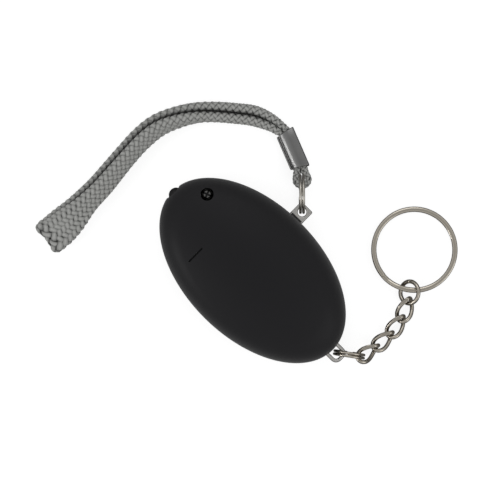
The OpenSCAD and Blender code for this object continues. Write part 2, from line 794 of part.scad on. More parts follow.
function strap_through(i) = let (lean = strap_lean(i / strap_last))
    strap_out(i) * cos(lean) - [0, 0, sin(lean)];
function leg_ring(i, side) = let (f = i / strap_last)
    band_ring(strap_mid(i) + strap_through(i) * side * strap_step(f) / 2, strap_across(i) * side,
        strap_through(i) * side, strap_w(f), strap_t(f));
function gripped_ring(side) =
    band_ring(grip_start - ferrule_side * side * grip_step / 2, [0, 0, side], -ferrule_side * side,
        braid_grip_w, braid_grip_t);

module wrist_strap() {
    fold_at = strap_mid(strap_last);
    way = unit(fold_at - strap_mid(strap_last - 1));
    across = strap_across(strap_last);
    through = strap_through(strap_last);
    mirrored = [3, 2, 1, 0, 7, 6, 5, 4];
    color(braid_grey) loft(concat(
        [gripped_ring(1)],
        [for (i = [0:strap_last]) leg_ring(i, 1)],
        [for (k = [1:fold_steps - 1])
            let (q = 90 - k * 180 / fold_steps, out = through * sin(q) + way * cos(q))
            band_ring(fold_at + out * leg_step / 2, across, out, braid_w, braid_t)],
        [for (i = [strap_last:-1:0]) [for (j = mirrored) leg_ring(i, -1)[j]]],
        [[for (j = mirrored) gripped_ring(-1)[j]]]));
}

function bail_point(side, x, y) = [side * x, y, front_h];
function bail_half(side) = concat(
    [bail_point(side, bail_foot_x, bail_foot_y)],
    [for (q = [0:30:90]) bail_point(side, bail_leg_x + bail_knee * (1 - sin(q)),
        bail_foot_y - bail_knee * (1 - cos(q)))],
    [for (q = [0:18:90]) bail_point(side, bail_corner_at[0] + bail_corner * cos(q),
        bail_corner_at[1] - bail_corner * sin(q))]);

module key_bail() {
    right = bail_half(1);
    left = bail_half(-1);
    n = len(left);
    color(chrome)
        loft(wire_rings(concat(right, [for (i = [n - 1:-1:0]) left[i]]), bail_wire, [0, 0, 1]));
}

module chain_ring() {
    color(nickel)
        translate(chain_ring_at)
            rotate([0, 0, chain_ring_dir]) rotate([90, 0, 0]) rotate(80)
                split_ring(chain_ring_od, chain_ring_wire, chain_ring_wire);
}

module chain_link_1() { chain_link(0); }
module chain_link_2() { chain_link(1); }
module chain_link_3() { chain_link(2); }
module chain_link_4() { chain_link(3); }

// Open wire ring whose two ends meet with a hair gap
module jump_ring() {
    opening = 3;
    r = jump_wire / 2;
    turns = [for (i = [0:ring_steps]) opening / 2 + i * (360 - opening) / ring_steps];
    color(nickel)
        translate(jump_at)
            rotate([jump_tilt, 0, jump_dir])
                loft([for (q = turns)
                    oval_ring(heading(q) * jump_mid, -heading(q), [0, 0, 1], r, r, wire_sides)]);
}

module key_ring() {
    color(nickel)
        translate(key_ring_at)
            rotate([0, key_ring_tilt, key_ring_dir]) rotate(170)
                split_ring(key_ring_od, key_ring_t, key_ring_turn);
}

module board_outline() {
    polygon([
        [-board_half, board_low_y], [board_half, board_low_y], [board_half, board_high_y - board_cut_y],
        [board_half - board_cut_x, board_high_y], [tongue_half, board_high_y], [tongue_half, tongue_y],
        [-tongue_half, tongue_y], [-tongue_half, board_high_y], [-board_half + board_cut_x, board_high_y],
        [-board_half, board_high_y - board_cut_y]]);
}

module circuit_board() {
    color(board_green) translate([0, 0, board_bottom]) difference() {
        linear_extrude(board_t) board_outline();
        for (s = [-1, 1])
            translate([s * post_x, POST_Y[1], -1]) cylinder(d = board_screw_d + 2 * fit, h = board_t + 2);
    }
}

module board_screws() {
    color(dark_steel) for (s = [-1, 1])
        translate([s * post_x, POST_Y[1], board_top])
            pan_screw(board_screw_head, board_head_h, pilot_d - thread_gap, board_t + pilot_deep - fit);
}

module piezo_plate() {
    color(brass) translate([0, piezo_y, piezo_z]) cylinder(d = piezo_d, h = piezo_t);
}

module piezo_ceramic() {
    color(ceramic_white) translate([0, piezo_y, piezo_z + piezo_t]) cylinder(d = ceramic_d, h = ceramic_t);
}

// Button cell along X: a can with a smaller cap on its negative face
module cell(i) {
    cap_d = cell_d - 2 * cap_inset;
    cap_h = 0.5;
    color(cell_steel) translate([-stack_x + i * cell_h, cell_y, cell_z]) rotate([0, 90, 0]) {
        translate([0, 0, cap_h]) cylinder(d = cell_d, h = cell_h - cap_h);
        cylinder(d = cap_d, h = cap_h + tiny);
    }
}

module cell_1() { cell(0); }
module cell_2() { cell(1); }
module cell_3() { cell(2); }

module positive_contact() {
    plate_w = 8;
    low = cell_z - cell_d / 2 + contact_low;
    high = cell_z + cell_d / 2 - contact_high;
    color(brass) translate([stack_x, cell_y - plate_w / 2, low]) cube([contact_t, plate_w, high - low]);
}

// Back plate with a bowed leaf that presses on the first cell's cap
module negative_contact() {
    plate_w = 7;
    back = -stack_x - spring_l;
    low = cell_z - cell_d / 2 + contact_low;
    high = cell_z + cell_d / 2 - contact_high;
    middle = (low + high) / 2;
    touch = -stack_x;
    inner = bow_half;
    outer = bow_half + contact_t / 2;
    tail = [(back + touch) / 2, middle - tail_drop];
    color(brass) translate([0, cell_y + plate_w / 2, 0]) rotate([90, 0, 0]) linear_extrude(plate_w)
        polygon([
            [back, low], [back + contact_t, low], [back + contact_t, high - contact_t],
            [touch - contact_t, middle + inner], [touch - contact_t, middle - inner], tail,
            tail + [contact_t, -contact_t], [touch, middle - outer], [touch, middle + outer],
            [back + contact_t, high], [back, high]]);
}

// Leaf contact of the pin switch: a foot on the board, a riser and a tongue beside the blade
module leaf(foot_x, tongue_low) {
    riser_x = foot_x + leaf_foot;
    color(brass) translate([0, pin_y + leaf_w / 2, 0]) rotate([90, 0, 0]) linear_extrude(leaf_w)
        polygon([
            [foot_x, board_top], [riser_x, board_top], [riser_x, tongue_low],
            [blade_tip + leaf_reach, tongue_low], [blade_tip + leaf_reach, tongue_low + leaf_t],
            [riser_x - leaf_t, tongue_low + leaf_t], [riser_x - leaf_t, board_top + leaf_t],
            [foot_x, board_top + leaf_t]]);
}

module leaf_lower() { leaf(blade_tip - leaf_lower_back, front_h - blade_t / 2 - leaf_gap - leaf_t); }
module leaf_upper() { leaf(blade_tip - leaf_upper_back, front_h + blade_t / 2 + leaf_gap); }

module tact_switch() {
    bore = plunger_in + button_travel + plunger_room;
    color(part_black) difference() {
        translate([-switch_w / 2, switch_y - switch_l, board_top]) cube([switch_w, switch_l, switch_h]);
        along_y(plunger_d + 2 * fit, switch_y - bore, switch_y + 1);
    }
}

module switch_plunger() {
    color(nylon_white) along_y(plunger_d, switch_y - plunger_in, switch_y + plunger_out);
}

module boost_coil() {
    core_d = 7;
    waist_d = 5.8;
    disc_h = 0.9;
    winding_h = 4;
    color(ferrite_grey) translate([coil_x, coil_y, board_top]) {
        cylinder(d = core_d, h = disc_h);
        cylinder(d = waist_d, h = disc_h + winding_h);
        translate([0, 0, disc_h + winding_h - tiny]) cylinder(d = core_d, h = disc_h);
    }
}

module alarm_chip() {
    chip = [4, 5, 1.5];
    pin = [6, 0.4, 0.3];
    pin_step = 1.27;
    standoff = 0.1;
    color(part_black) translate([chip_x, chip_y, board_top]) {
        translate([-chip[0] / 2, -chip[1] / 2, standoff]) cube(chip);
        for (i = [-1.5:1.5])
            translate([-pin[0] / 2, i * pin_step - pin[1] / 2, 0]) cube(pin);
    }
}

module drive_transistor() {
    body = [4.5, 2.5, 1.5];
    leg = [0.5, 1, 0.4];
    leg_pitch = 1.5;
    color(part_black) translate([transistor_x, transistor_y, board_top]) {
        translate([-body[0] / 2, -body[1] / 2, 0]) cube(body);
        for (i = [-1:1])
            translate([i * leg_pitch - leg[0] / 2, body[1] / 2 - tiny, 0]) cube(leg);
    }
}

module storage_capacitor() {
    color(ferrite_grey)
        translate([capacitor_x, capacitor_y, board_top]) cylinder(d = capacitor_d, h = capacitor_h);
}

// Thin lead from the sounder up to the underside of the board, leaning along Y
module piezo_lead(x, y, slope, low) {
    high = board_bottom;
    points = [[x, y, low], [x, y, low + lead_stub], [x, y + slope, high - lead_stub], [x, y + slope, high]];
    loft(wire_rings(points, lead_d, [1, 0, 0]));
}

module piezo_lead_red() {
    color(lead_red) piezo_lead(red_lead_x, piezo_y, red_lead_slope, piezo_z + piezo_t + ceramic_t);
}

// This one lands halfway between the ceramic and the plate's edge
module piezo_lead_black() {
    bare_r = (ceramic_d + piezo_d) / 4;
    color(part_black) piezo_lead(0, piezo_y + bare_r, black_lead_slope, piezo_z + piezo_t);
}

rear_cover();
front_cover();
cover_screw();
push_button();
pull_pin_tab();
pull_pin_blade();
pin_ring();
strap_ferrule();
strap_eye();
wrist_strap();
key_bail();
chain_ring();
chain_link_1();
chain_link_2();
chain_link_3();
chain_link_4();
jump_ring();
key_ring();
circuit_board();
board_screws();
piezo_plate();
piezo_ceramic();
cell_1();
cell_2();
cell_3();
positive_contact();
negative_contact();
leaf_lower();
leaf_upper();
tact_switch();
switch_plunger();
boost_coil();
alarm_chip();
drive_transistor();
storage_capacitor();
piezo_lead_red();
piezo_lead_black();
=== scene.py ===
"""Looks of a personal safety alarm: pebble casing, pull pin, braided wrist strap and key chain.

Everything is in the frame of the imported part: it lies on its front cover, +Z runs up through the
rear cover, +Y to the push button and +X to the pull pin. Sizes are in millimetres and angles in
degrees. Only the finishes and the finished objects are in metres.
"""

import logging
import math
from dataclasses import dataclass, field, replace
from enum import Enum
from typing import Any, Sequence

import bmesh
import bpy
import numpy as np
from mathutils import Matrix, Vector


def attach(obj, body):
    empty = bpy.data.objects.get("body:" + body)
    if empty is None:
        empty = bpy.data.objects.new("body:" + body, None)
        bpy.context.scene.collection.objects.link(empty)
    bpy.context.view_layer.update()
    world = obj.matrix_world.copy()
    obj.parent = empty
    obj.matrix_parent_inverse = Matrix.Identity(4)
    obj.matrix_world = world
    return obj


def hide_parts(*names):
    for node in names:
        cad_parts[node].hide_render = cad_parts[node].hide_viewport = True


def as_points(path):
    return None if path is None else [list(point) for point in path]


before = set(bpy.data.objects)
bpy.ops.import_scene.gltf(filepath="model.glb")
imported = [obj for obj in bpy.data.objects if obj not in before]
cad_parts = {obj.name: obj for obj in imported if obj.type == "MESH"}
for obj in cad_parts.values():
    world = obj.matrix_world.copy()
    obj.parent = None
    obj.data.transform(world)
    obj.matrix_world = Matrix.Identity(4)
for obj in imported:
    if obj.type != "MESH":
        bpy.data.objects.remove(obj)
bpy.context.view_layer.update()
LOG = logging.getLogger("alarm")
MM = 0.001
TINY = 1e-9
UP = np.array([0.0, 0.0, 1.0])
SCREW_AT = (6.4, 24.7)


class Body(str, Enum):
    """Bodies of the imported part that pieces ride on."""

    CASING = "casing"
    BUTTON = "button"
    PIN = "pull_pin"
    PIN_RING = "pin_split_ring"
    STRAP = "strap"
    BAIL_RING = "bail_split_ring"
    LINK_1 = "link_1"
    LINK_2 = "link_2"
    LINK_3 = "link_3"
    LINK_4 = "link_4"
    WIRE_RING = "wire_ring"
    KEY_RING = "ring_for_keys"


# Shader maths


class Wire:
    """An output socket that Python's operators work on."""

    def __init__(self, graph: "Graph", socket: bpy.types.NodeSocket | None) -> None:
        """Keeps the graph that new nodes go to, and the socket."""
        self.graph = graph
        self.socket = socket

    def _math(self, operation: str, *values: Any) -> "Wire":
        """Adds one Math node."""
        return self.graph.node("ShaderNodeMath", {"operation": operation}, dict(enumerate(values)))

    def __add__(self, other: Any) -> "Wire":
        """Sum of two values."""
        return self._math("ADD", self, other)

    def __radd__(self, other: Any) -> "Wire":
        """Sum with a number on the left."""
        return self._math("ADD", other, self)

    def __sub__(self, other: Any) -> "Wire":
        """Difference of two values."""
        return self._math("SUBTRACT", self, other)

    def __rsub__(self, other: Any) -> "Wire":
        """Difference with a number on the left."""
        return self._math("SUBTRACT", other, self)

    def __mul__(self, other: Any) -> "Wire":
        """Product of two values."""
        return self._math("MULTIPLY", self, other)

    def __rmul__(self, other: Any) -> "Wire":
        """Product with a number on the left."""
        return self._math("MULTIPLY", other, self)

    def __abs__(self) -> "Wire":
        """Size of a value without its sign."""
        return self._math("ABSOLUTE", self)

    def larger(self, other: Any) -> "Wire":
        """The larger of two values."""
        return self._math("MAXIMUM", self, other)

    def smaller(self, other: Any) -> "Wire":
        """The smaller of two values."""
        return self._math("MINIMUM", self, other)


class Graph:
    """Node tree of one material or of the world."""

    def __init__(self, block: bpy.types.Material | bpy.types.World) -> None:
        """Turns nodes on and clears the tree.

        Args:
            block: The material or world.
        """
        block.use_nodes = True
        self.tree = block.node_tree
        self.tree.nodes.clear()

    def node(
        self,
        kind: str,
        settings: dict[str, Any] | None = None,
        inputs: dict[int | str, Any] | None = None,
        output: int | str = 0,
    ) -> Wire:
        """Adds a node.

        Args:
            kind: Blender's name of the node type.
            settings: Attributes set first; "stops" gives a ramp's (place, colour) pairs.
            inputs: Values or wires by the socket's name or number.
            output: Name or number of the output that is returned.

        Returns:
            The wire from that output.
        """
        made = self.tree.nodes.new(kind)
        for name, value in (settings or {}).items():
            if name == "stops":
                ramp = made.color_ramp
                while len(ramp.elements) < len(value):
                    ramp.elements.new(1.0)
                for element, (place, colour) in zip(ramp.elements, value):
                    element.position = place
                    element.color = (*colour, 1.0)
            else:
                setattr(made, name, value)
        for name, value in (inputs or {}).items():
            if isinstance(value, Wire):
                self.tree.links.new(value.socket, made.inputs[name])
            else:
                made.inputs[name].default_value = value
        return Wire(self, made.outputs[output] if made.outputs else None)

    def place(self) -> Wire:
        """Object coordinates, which are the part's own frame."""
        return self.node("ShaderNodeTexCoord", output="Object")

    def noise(self, size: float, detail: float = 2.0, stretch: Sequence[float] = (1, 1, 1)) -> Wire:
        """Noise whose grains are about that large.

        Args:
            size: Grain in metres.
            detail: Octaves of finer grain.
            stretch: Factor on each axis of the grain's frequency.

        Returns:
            A value from 0 to 1.
        """
        spread = self.node("ShaderNodeMapping", None, {"Vector": self.place(), "Scale": stretch})
        inputs = {"Vector": spread, "Scale": 1.0 / size, "Detail": detail}
        return self.node("ShaderNodeTexNoise", None, inputs)

    def shade(self, factor: Wire, dark: Any, light: Any) -> Wire:
        """Colour between two.

        Args:
            factor: Value from 0 to 1.
            dark: Colour at 0, as three numbers or a wire.
            light: Colour at 1, as three numbers or a wire.

        Returns:
            The mixed colour.
        """
        low, high = (end if isinstance(end, Wire) else (*end, 1.0) for end in (dark, light))
        return self.node("ShaderNodeMix", {"data_type": "RGBA"}, {0: factor, 6: low, 7: high}, output=2)

    def bump(self, height: Wire, strength: float, depth: float) -> Wire:
        """Normal from a height of that depth in metres."""
        inputs = {"Height": height, "Strength": strength, "Distance": depth}
        return self.node("ShaderNodeBump", None, inputs)


# Finishes


@dataclass(frozen=True)
class Finish:
    """A surface with grain in its colour, gloss and relief.

    Colours are linear and sizes are in metres. Patch_share is the part that broad patches have in
    the colour. Patches of gloss are gloss_patch times as large as those.
    """

    name: str
    colour: tuple[float, float, float]
    roughness: float
    metallic: float = 0.0
    specular: float = 0.5
    coat: float = 0.0
    coat_roughness: float = 0.1
    sheen: float = 0.0
    colour_spread: float = 0.12
    gloss_spread: float = 0.08
    gloss_patch: float = 0.5
    gloss_detail: float = 3.0
    grain: float = 0.4 * MM
    grain_detail: float = 3.0
    patch: float = 6.0 * MM
    patch_share: float = 0.5
    relief: float = 0.01 * MM
    relief_strength: float = 0.25
    stretch: tuple[float, float, float] = (1.0, 1.0, 1.0)

    def height(self, graph: Graph) -> Wire:
        """Relief from 0 to 1."""
        return graph.noise(self.grain, self.grain_detail, self.stretch)

    def mottle(self, graph: Graph) -> Wire:
        """Value from 0 to 1 that the colour follows: fine grain over broad patches."""
        broad, fine = graph.noise(self.patch), self.height(graph)
        return self.patch_share * broad + (1 - self.patch_share) * fine

    def tint(self, graph: Graph) -> Wire:
        """Colour of the surface.

        Args:
            graph: Where the nodes go.

        Returns:
            The colour.
        """
        low, high = (
            [min(1.0, level * (1.0 + spread)) for level in self.colour]
            for spread in (-self.colour_spread, self.colour_spread)
        )
        return graph.shade(self.mottle(graph), low, high)

    def material(self) -> bpy.types.Material:
        """Makes the material, once.

        Returns:
            The material of this finish.
        """
        found = bpy.data.materials.get(self.name)
        if found:
            return found
        made = bpy.data.materials.new(self.name)
        graph = Graph(made)
        gloss = graph.noise(self.patch * self.gloss_patch, self.gloss_detail)
        shader = graph.node(
            "ShaderNodeBsdfPrincipled",
            None,
            {
                "Base Color": self.tint(graph),
                "Roughness": self.roughness - self.gloss_spread / 2 + self.gloss_spread * gloss,
                "Metallic": self.metallic,
                "Specular IOR Level": self.specular,
                "Coat Weight": self.coat,
                "Coat Roughness": self.coat_roughness,
                "Sheen Weight": self.sheen,
                "Normal": graph.bump(self.height(graph), self.relief_strength, self.relief),
            },
        )
        graph.node("ShaderNodeOutputMaterial", None, {"Surface": shader})
        return made


@dataclass(frozen=True)
class Yarn(Finish):
    """Spun yarn: its mesh's painted light runs from 0 in the hollows to 1 on the crowns."""

    # Colour of full painted shade, in the hollows and between the strands
    painted_shade: tuple[float, float, float] = (0.02, 0.02, 0.019)

    def tint(self, graph: Graph) -> Wire:
        """Colour of the fibres, with painted shade in the hollows."""
        tone = graph.node("ShaderNodeAttribute", {"attribute_name": "tone"}, output="Fac")
        return graph.shade(tone, self.painted_shade, super().tint(graph))


@dataclass(frozen=True)
class CrossSteel(Finish):
    """Screw steel with painted shade in its driver cross, about an upright line."""

    middle: tuple[float, float] = (0.0, 0.0)
    arm: float = 0.5 * MM
    arm_edge: float = 0.06 * MM
    # Colour of the painted shade in the recess of the driver cross
    cross_shade: tuple[float, float, float] = (0.02, 0.02, 0.02)
    spin: float = 0.0

    def tint(self, graph: Graph) -> Wire:
        """Colour of the head, with near black painted shade in the cross.

        Args:
            graph: Where the nodes go.

        Returns:
            The colour.
        """
        x, y = self.middle
        turned = graph.node(
            "ShaderNodeVectorRotate",
            {"rotation_type": "Z_AXIS"},
            {"Vector": graph.place(), "Center": (x, y, 0.0), "Angle": -math.radians(self.spin)},
        )
        u, v = (graph.node("ShaderNodeSeparateXYZ", None, {0: turned}, output=k) for k in (0, 1))
        off = abs(u - x).smaller(abs(v - y))
        half = self.arm / 2
        span = {0: off, 1: half - self.arm_edge, 2: half + self.arm_edge}
        shown = graph.node("ShaderNodeMapRange", None, span)
        return graph.shade(shown, self.cross_shade, super().tint(graph))


SOFT_BLACK = Finish(
    "soft_touch_black", (0.0082, 0.0080, 0.0094), 0.46, specular=0.13, sheen=0.22,
    colour_spread=0.08, gloss_spread=0.06, grain=0.18 * MM, patch=9.0 * MM, relief=0.004 * MM,
    relief_strength=0.3,
)
GLOSS_BLACK = Finish(
    "gloss_black", (0.016, 0.016, 0.0165), 0.4, specular=0.22, grain=0.3 * MM, relief=0.001 * MM
)
# Black of moulded parts, also painted as the shadow round the pull pin's root
MOULDED_BLACK_AND_SHADOW = Finish(
    "moulded_black_and_shadow", (0.008, 0.008, 0.008), 0.5, colour_spread=0.2, grain=0.15 * MM
)
BRIGHT_PLATE = Finish(
    "bright_plate", (0.50, 0.49, 0.47), 0.24, metallic=1.0, colour_spread=0.05, gloss_spread=0.06,
    grain=0.25 * MM, patch=2.0 * MM, relief=0.0015 * MM, stretch=(1.0, 0.25, 1.0),
)
NICKEL = Finish(
    "plated_nickel", (0.45, 0.415, 0.358), 0.20, metallic=1.0, colour_spread=0.06,
    gloss_spread=0.06, grain=0.3 * MM, patch=1.6 * MM, relief=0.0015 * MM,
)
SATIN_NICKEL = replace(NICKEL, name="satin_nickel", colour=(0.50, 0.475, 0.43), roughness=0.32)
SATIN_STEEL = Finish(
    "satin_steel", (0.20, 0.20, 0.198), 0.30, metallic=1.0, colour_spread=0.06, grain=0.16 * MM,
    patch=3.0 * MM, relief=0.003 * MM, stretch=(1.0, 1.0, 0.3),
)
SCREW_STEEL = Finish(
    "screw_steel", (0.11, 0.11, 0.11), 0.34, metallic=1.0, grain=0.3 * MM, relief=0.003 * MM
)
# The screw head, with painted shade in its driver cross
CROSS_HEAD = CrossSteel(
    "cross_head", (0.15, 0.15, 0.145), 0.34, metallic=1.0, grain=0.3 * MM, relief=0.003 * MM,
    middle=(SCREW_AT[0] * MM, SCREW_AT[1] * MM), arm=0.56 * MM, spin=20.0,
)
GREY_YARN = Yarn(
    "grey_yarn", (0.42, 0.423, 0.407), 0.85, specular=0.2, sheen=0.1, colour_spread=0.22,
    grain=0.09 * MM, grain_detail=4.0, patch=2.2 * MM, patch_share=0.35, relief=0.05 * MM,
    relief_strength=0.5,
)
NATURAL_NYLON = Finish("natural_nylon", (0.72, 0.71, 0.66), 0.45, colour_spread=0.05)
SOLDER_MASK = Finish(
    "solder_mask", (0.012, 0.10, 0.045), 0.3, coat=0.4, colour_spread=0.15, grain=0.8 * MM,
    patch=4.0 * MM, stretch=(1.0, 0.2, 1.0),
)
SHEET_BRASS = Finish(
    "sheet_brass", (0.62, 0.42, 0.12), 0.26, metallic=1.0, colour_spread=0.1, stretch=(0.2, 1.0, 1.0)
)
CELL_STEEL = Finish(
    "cell_steel", (0.58, 0.58, 0.59), 0.22, metallic=1.0, colour_spread=0.06, stretch=(0.15, 1.0, 1.0)
)
FIRED_CERAMIC = Finish(
    "fired_ceramic", (0.74, 0.70, 0.60), 0.6, colour_spread=0.06, grain=0.2 * MM
)
FERRITE_GREY = Finish(
    "ferrite_grey", (0.045, 0.045, 0.048), 0.62, colour_spread=0.2, grain=0.2 * MM
)
RED_LEAD = Finish("red_lead", (0.42, 0.012, 0.01), 0.4, colour_spread=0.08)

CARRIED = {
    CROSS_HEAD: ("cover_screw",),
    SCREW_STEEL: ("board_screws",),
    NATURAL_NYLON: ("pull_pin_blade", "switch_plunger"),
    SOLDER_MASK: ("circuit_board",),
    SHEET_BRASS: ("piezo_plate", "positive_contact", "negative_contact", "leaf_lower", "leaf_upper"),
    FIRED_CERAMIC: ("piezo_ceramic",),
    CELL_STEEL: ("cell_1", "cell_2", "cell_3"),
    MOULDED_BLACK_AND_SHADOW: ("tact_switch", "alarm_chip", "drive_transistor", "piezo_lead_black"),
    FERRITE_GREY: ("boost_coil", "storage_capacitor"),
    RED_LEAD: ("piezo_lead_red",),
}


# Directions and curves


def heading(degrees: np.ndarray | float) -> np.ndarray:
    """Level unit vector at an angle from +X, or a row of them for several angles."""
    q = np.radians(degrees)
    return np.stack([np.cos(q), np.sin(q), np.zeros_like(q)], axis=-1)


def unit(vectors: np.ndarray) -> np.ndarray:
    """Vectors scaled to length one, along the last axis."""
    return vectors / np.linalg.norm(vectors, axis=-1, keepdims=True)


def ease(f: np.ndarray | float) -> np.ndarray:
    """Smooth step from 0 to 1."""
    f = np.clip(f, 0.0, 1.0)
    return f * f * (3 - 2 * f)


def mix(a: Any, b: Any, f: Any) -> Any:
    """Value between a and b."""
    return a + (b - a) * f


def turn(roll: float, pitch: float, yaw: float) -> np.ndarray:
    """Rotation about three axes.

    Args:
        roll: Turn about X, the first.
        pitch: Turn about Y.
        yaw: Turn about Z, the last.

    Returns:
        The matrix.
    """
    x, y, z = (
        np.array(Matrix.Rotation(math.radians(angle), 3, axis))
        for angle, axis in ((roll, "X"), (pitch, "Y"), (yaw, "Z"))
    )
    return z @ y @ x


def smooth_curve(points: Sequence[Sequence[float]], per_span: int) -> np.ndarray:
    """Runs one smooth curve through points.

    Args:
        points: Rows of coordinates, or of any values that go with them.
        per_span: Samples between two points.

    Returns:
        The samples, with both ends.
    """
    rows = np.array(points, float)
    p = np.vstack([2 * rows[0] - rows[1], rows, 2 * rows[-1] - rows[-2]])
    t = np.linspace(0, 1, per_span, endpoint=False)[:, None]
    spans = []
    for a, b, c, d in zip(p, p[1:], p[2:], p[3:]):
        square = 2 * a - 5 * b + 4 * c - d
        cube = 3 * b - a - 3 * c + d
        spans.append(0.5 * (2 * b + (c - a) * t + square * t**2 + cube * t**3))
    return np.vstack([*spans, rows[-1:]])


def oval(sides: int, power: float = 2.0, shift: float = 0.0) -> np.ndarray:
    """Closed outline in a square of side 2: a circle at power 2, squarer above.

    Args:
        sides: Points round the outline.
        power: Exponent of the outline.
        shift: Steps from +X to the first point.

    Returns:
        Rows of (x, y).
    """
    q = (np.arange(sides) + shift) * 2 * math.pi / sides
    both = np.stack([np.cos(q), np.sin(q)], axis=1)
    return np.sign(both) * np.abs(both) ** (2.0 / power)


# Rings of points


def sweep(path: np.ndarray, u: np.ndarray, v: np.ndarray, section: np.ndarray) -> np.ndarray:
    """Rings of one section carried along a path.

    Args:
        path: Middle of each ring.
        u: Direction of the section's x at each ring.
        v: Direction of the section's y at each ring.
        section: Outline, one for all rings or one for each.

    Returns:
        Points by ring and place.
    """
    outline = section if section.ndim == 3 else section[None]
    return path[:, None] + outline[..., :1] * u[:, None] + outline[..., 1:] * v[:, None]


# Shares of the wire's thickness and of the tip's length, at each ring of a rounded tip
TIP_STEPS = ((0.86, 0.6), (0.5, 1.0))


def rounded_ends(rings: np.ndarray, path: np.ndarray, depth: float) -> np.ndarray:
    """Adds a rounded tip to both ends of a swept wire.

    Args:
        rings: Points by ring and place.
        path: Middle of each ring.
        depth: Length of the tip.

    Returns:
        The rings with two more at each end.
    """
    tips = []
    for end, inner in ((0, 1), (-1, -2)):
        way = unit(path[end] - path[inner]) * depth
        spokes = rings[end] - path[end]
        tips.append([path[end] + spokes * share + way * reach for share, reach in TIP_STEPS])
    return np.concatenate([tips[0][::-1], rings, tips[1]])


# A direction that no bore runs along
BORE_ASIDE = np.array([0.3, 0.5, 0.9])


def cylinder(d: float, low: Sequence[float], high: Sequence[float], sides: int) -> np.ndarray:
    """Rings of a cylinder.

    Args:
        d: Its thickness.
        low: Middle of one end.
        high: Middle of the other.
        sides: Points round it.

    Returns:
        The ring at each end.
    """
    ends = np.array([low, high], float)
    way = unit(ends[1] - ends[0])
    u = unit(np.cross(way, BORE_ASIDE))
    return sweep(ends, np.tile(u, (2, 1)), np.tile(np.cross(way, u), (2, 1)), oval(sides) * d / 2)


def block(low: Sequence[float], high: Sequence[float]) -> np.ndarray:
    """Rings of a level box between two corners."""
    (x0, y0, z0), (x1, y1, z1) = low, high
    return np.array([[(x0, y0, z), (x1, y0, z), (x1, y1, z), (x0, y1, z)] for z in (z0, z1)])


# Meshes and objects


def add(name: str, data: bpy.types.ID) -> bpy.types.Object:
    """Links a new object to the scene.

    Args:
        name: Its name.
        data: Its mesh, camera or lamp.

    Returns:
        The object.
    """
    made = bpy.data.objects.new(name, data)
    bpy.context.scene.collection.objects.link(made)
    return made


def fetch(items: Any, name: str, columns: int = 1, kind: type = float) -> np.ndarray:
    """Reads one attribute of all vertices, corners or faces of a mesh.

    Args:
        items: The vertices, corners or faces.
        name: The attribute.
        columns: Numbers that each holds.
        kind: Type of the numbers.

    Returns:
        The numbers, in rows where there are several columns.
    """
    values = np.empty(len(items) * columns, kind)
    items.foreach_get(name, values)
    return values.reshape(-1, columns) if columns > 1 else values


def settle_normals(mesh: bpy.types.Mesh, sharp: float) -> None:
    """Turns all faces outwards and smooths edges below an angle.

    Args:
        mesh: The mesh.
        sharp: The angle in degrees.
    """
    work = bmesh.new()
    work.from_mesh(mesh)
    bmesh.ops.recalc_face_normals(work, faces=work.faces)
    limit = math.radians(sharp)
    for face in work.faces:
        face.smooth = True
    for edge in work.edges:
        edge.smooth = edge.is_manifold and edge.calc_face_angle(0.0) < limit
    work.to_mesh(mesh)
    work.free()


@dataclass
class MeshBuffer:
    """Points and faces of one piece, gathered before the piece is made."""

    points: list[np.ndarray] = field(default_factory=list)
    faces: list[list[int]] = field(default_factory=list)
    slots: list[int] = field(default_factory=list)
    painted_lights: list[np.ndarray] = field(default_factory=list)
    count: int = 0

    def loft(
        self, rings: np.ndarray, closed: bool = False, slot: int = 0, tone: float | np.ndarray = 1.0
    ) -> None:
        """Adds a skin over rings of points, with a face on each open end.

        Args:
            rings: Points by ring and by place on the ring.
            closed: The last ring joins the first.
            slot: Material slot of the skin.
            tone: Share of painted light at each point, from 0 for full painted shade to 1 for none.
        """
        n, m, _ = rings.shape
        at = self.count + np.arange(n * m).reshape(n, m)
        low, high = (at, np.roll(at, -1, 0)) if closed else (at[:-1], at[1:])
        corners = [low, np.roll(low, -1, 1), np.roll(high, -1, 1), high]
        made = np.stack(corners, axis=-1).reshape(-1, 4).tolist()
        if not closed:
            made += [at[0, ::-1].tolist(), at[-1].tolist()]
        self.points.append(rings.reshape(-1, 3))
        self.painted_lights.append(np.broadcast_to(tone, (n, m)).reshape(-1))
        self.faces += made
        self.slots += [slot] * len(made)
        self.count += n * m

    def piece(self, name: str, *finishes: Finish, sharp: float = 40.0) -> bpy.types.Object:
        """Makes the object, in metres from millimetres.

        Args:
            name: Name of the piece.
            finishes: One finish for each slot.
            sharp: Edges above this angle stay sharp, in degrees.

        Returns:
            The linked object.
        """
        mesh = bpy.data.meshes.new(name)
        mesh.from_pydata((np.vstack(self.points) * MM).tolist(), [], self.faces)
        mesh.update()
        mesh.polygons.foreach_set("material_index", self.slots)
        # Painted shade: points below 1 pass it on to the yarn's colour as a mesh attribute
        tone = np.concatenate(self.painted_lights)
        if tone.min() < 1.0:
            mesh.attributes.new("tone", "FLOAT", "POINT").data.foreach_set("value", tone)
        for finish in finishes:
            mesh.materials.append(finish.material())
        settle_normals(mesh, sharp)
        return add(name, mesh)


def skin(name: str, rings: np.ndarray, *finishes: Finish, **loft: Any) -> bpy.types.Object:
    """Makes a piece of a single skin.

    Args:
        name: Name of the piece.
        rings: Points by ring and place.
        finishes: One finish for each slot.
        loft: What MeshBuffer.loft takes besides.

    Returns:
        The piece.
    """
    buffer = MeshBuffer()
    buffer.loft(rings, **loft)
    return buffer.piece(name, *finishes)


def apply_modifiers(made: bpy.types.Object) -> None:
    """Puts what an object's modifiers make in place of its mesh.

    Args:
        made: The object, changed in place.
    """
    bpy.context.view_layer.update()
    evaluated = made.evaluated_get(bpy.context.evaluated_depsgraph_get())
    result = bpy.data.meshes.new_from_object(evaluated)
    made.modifiers.clear()
    made.data = result


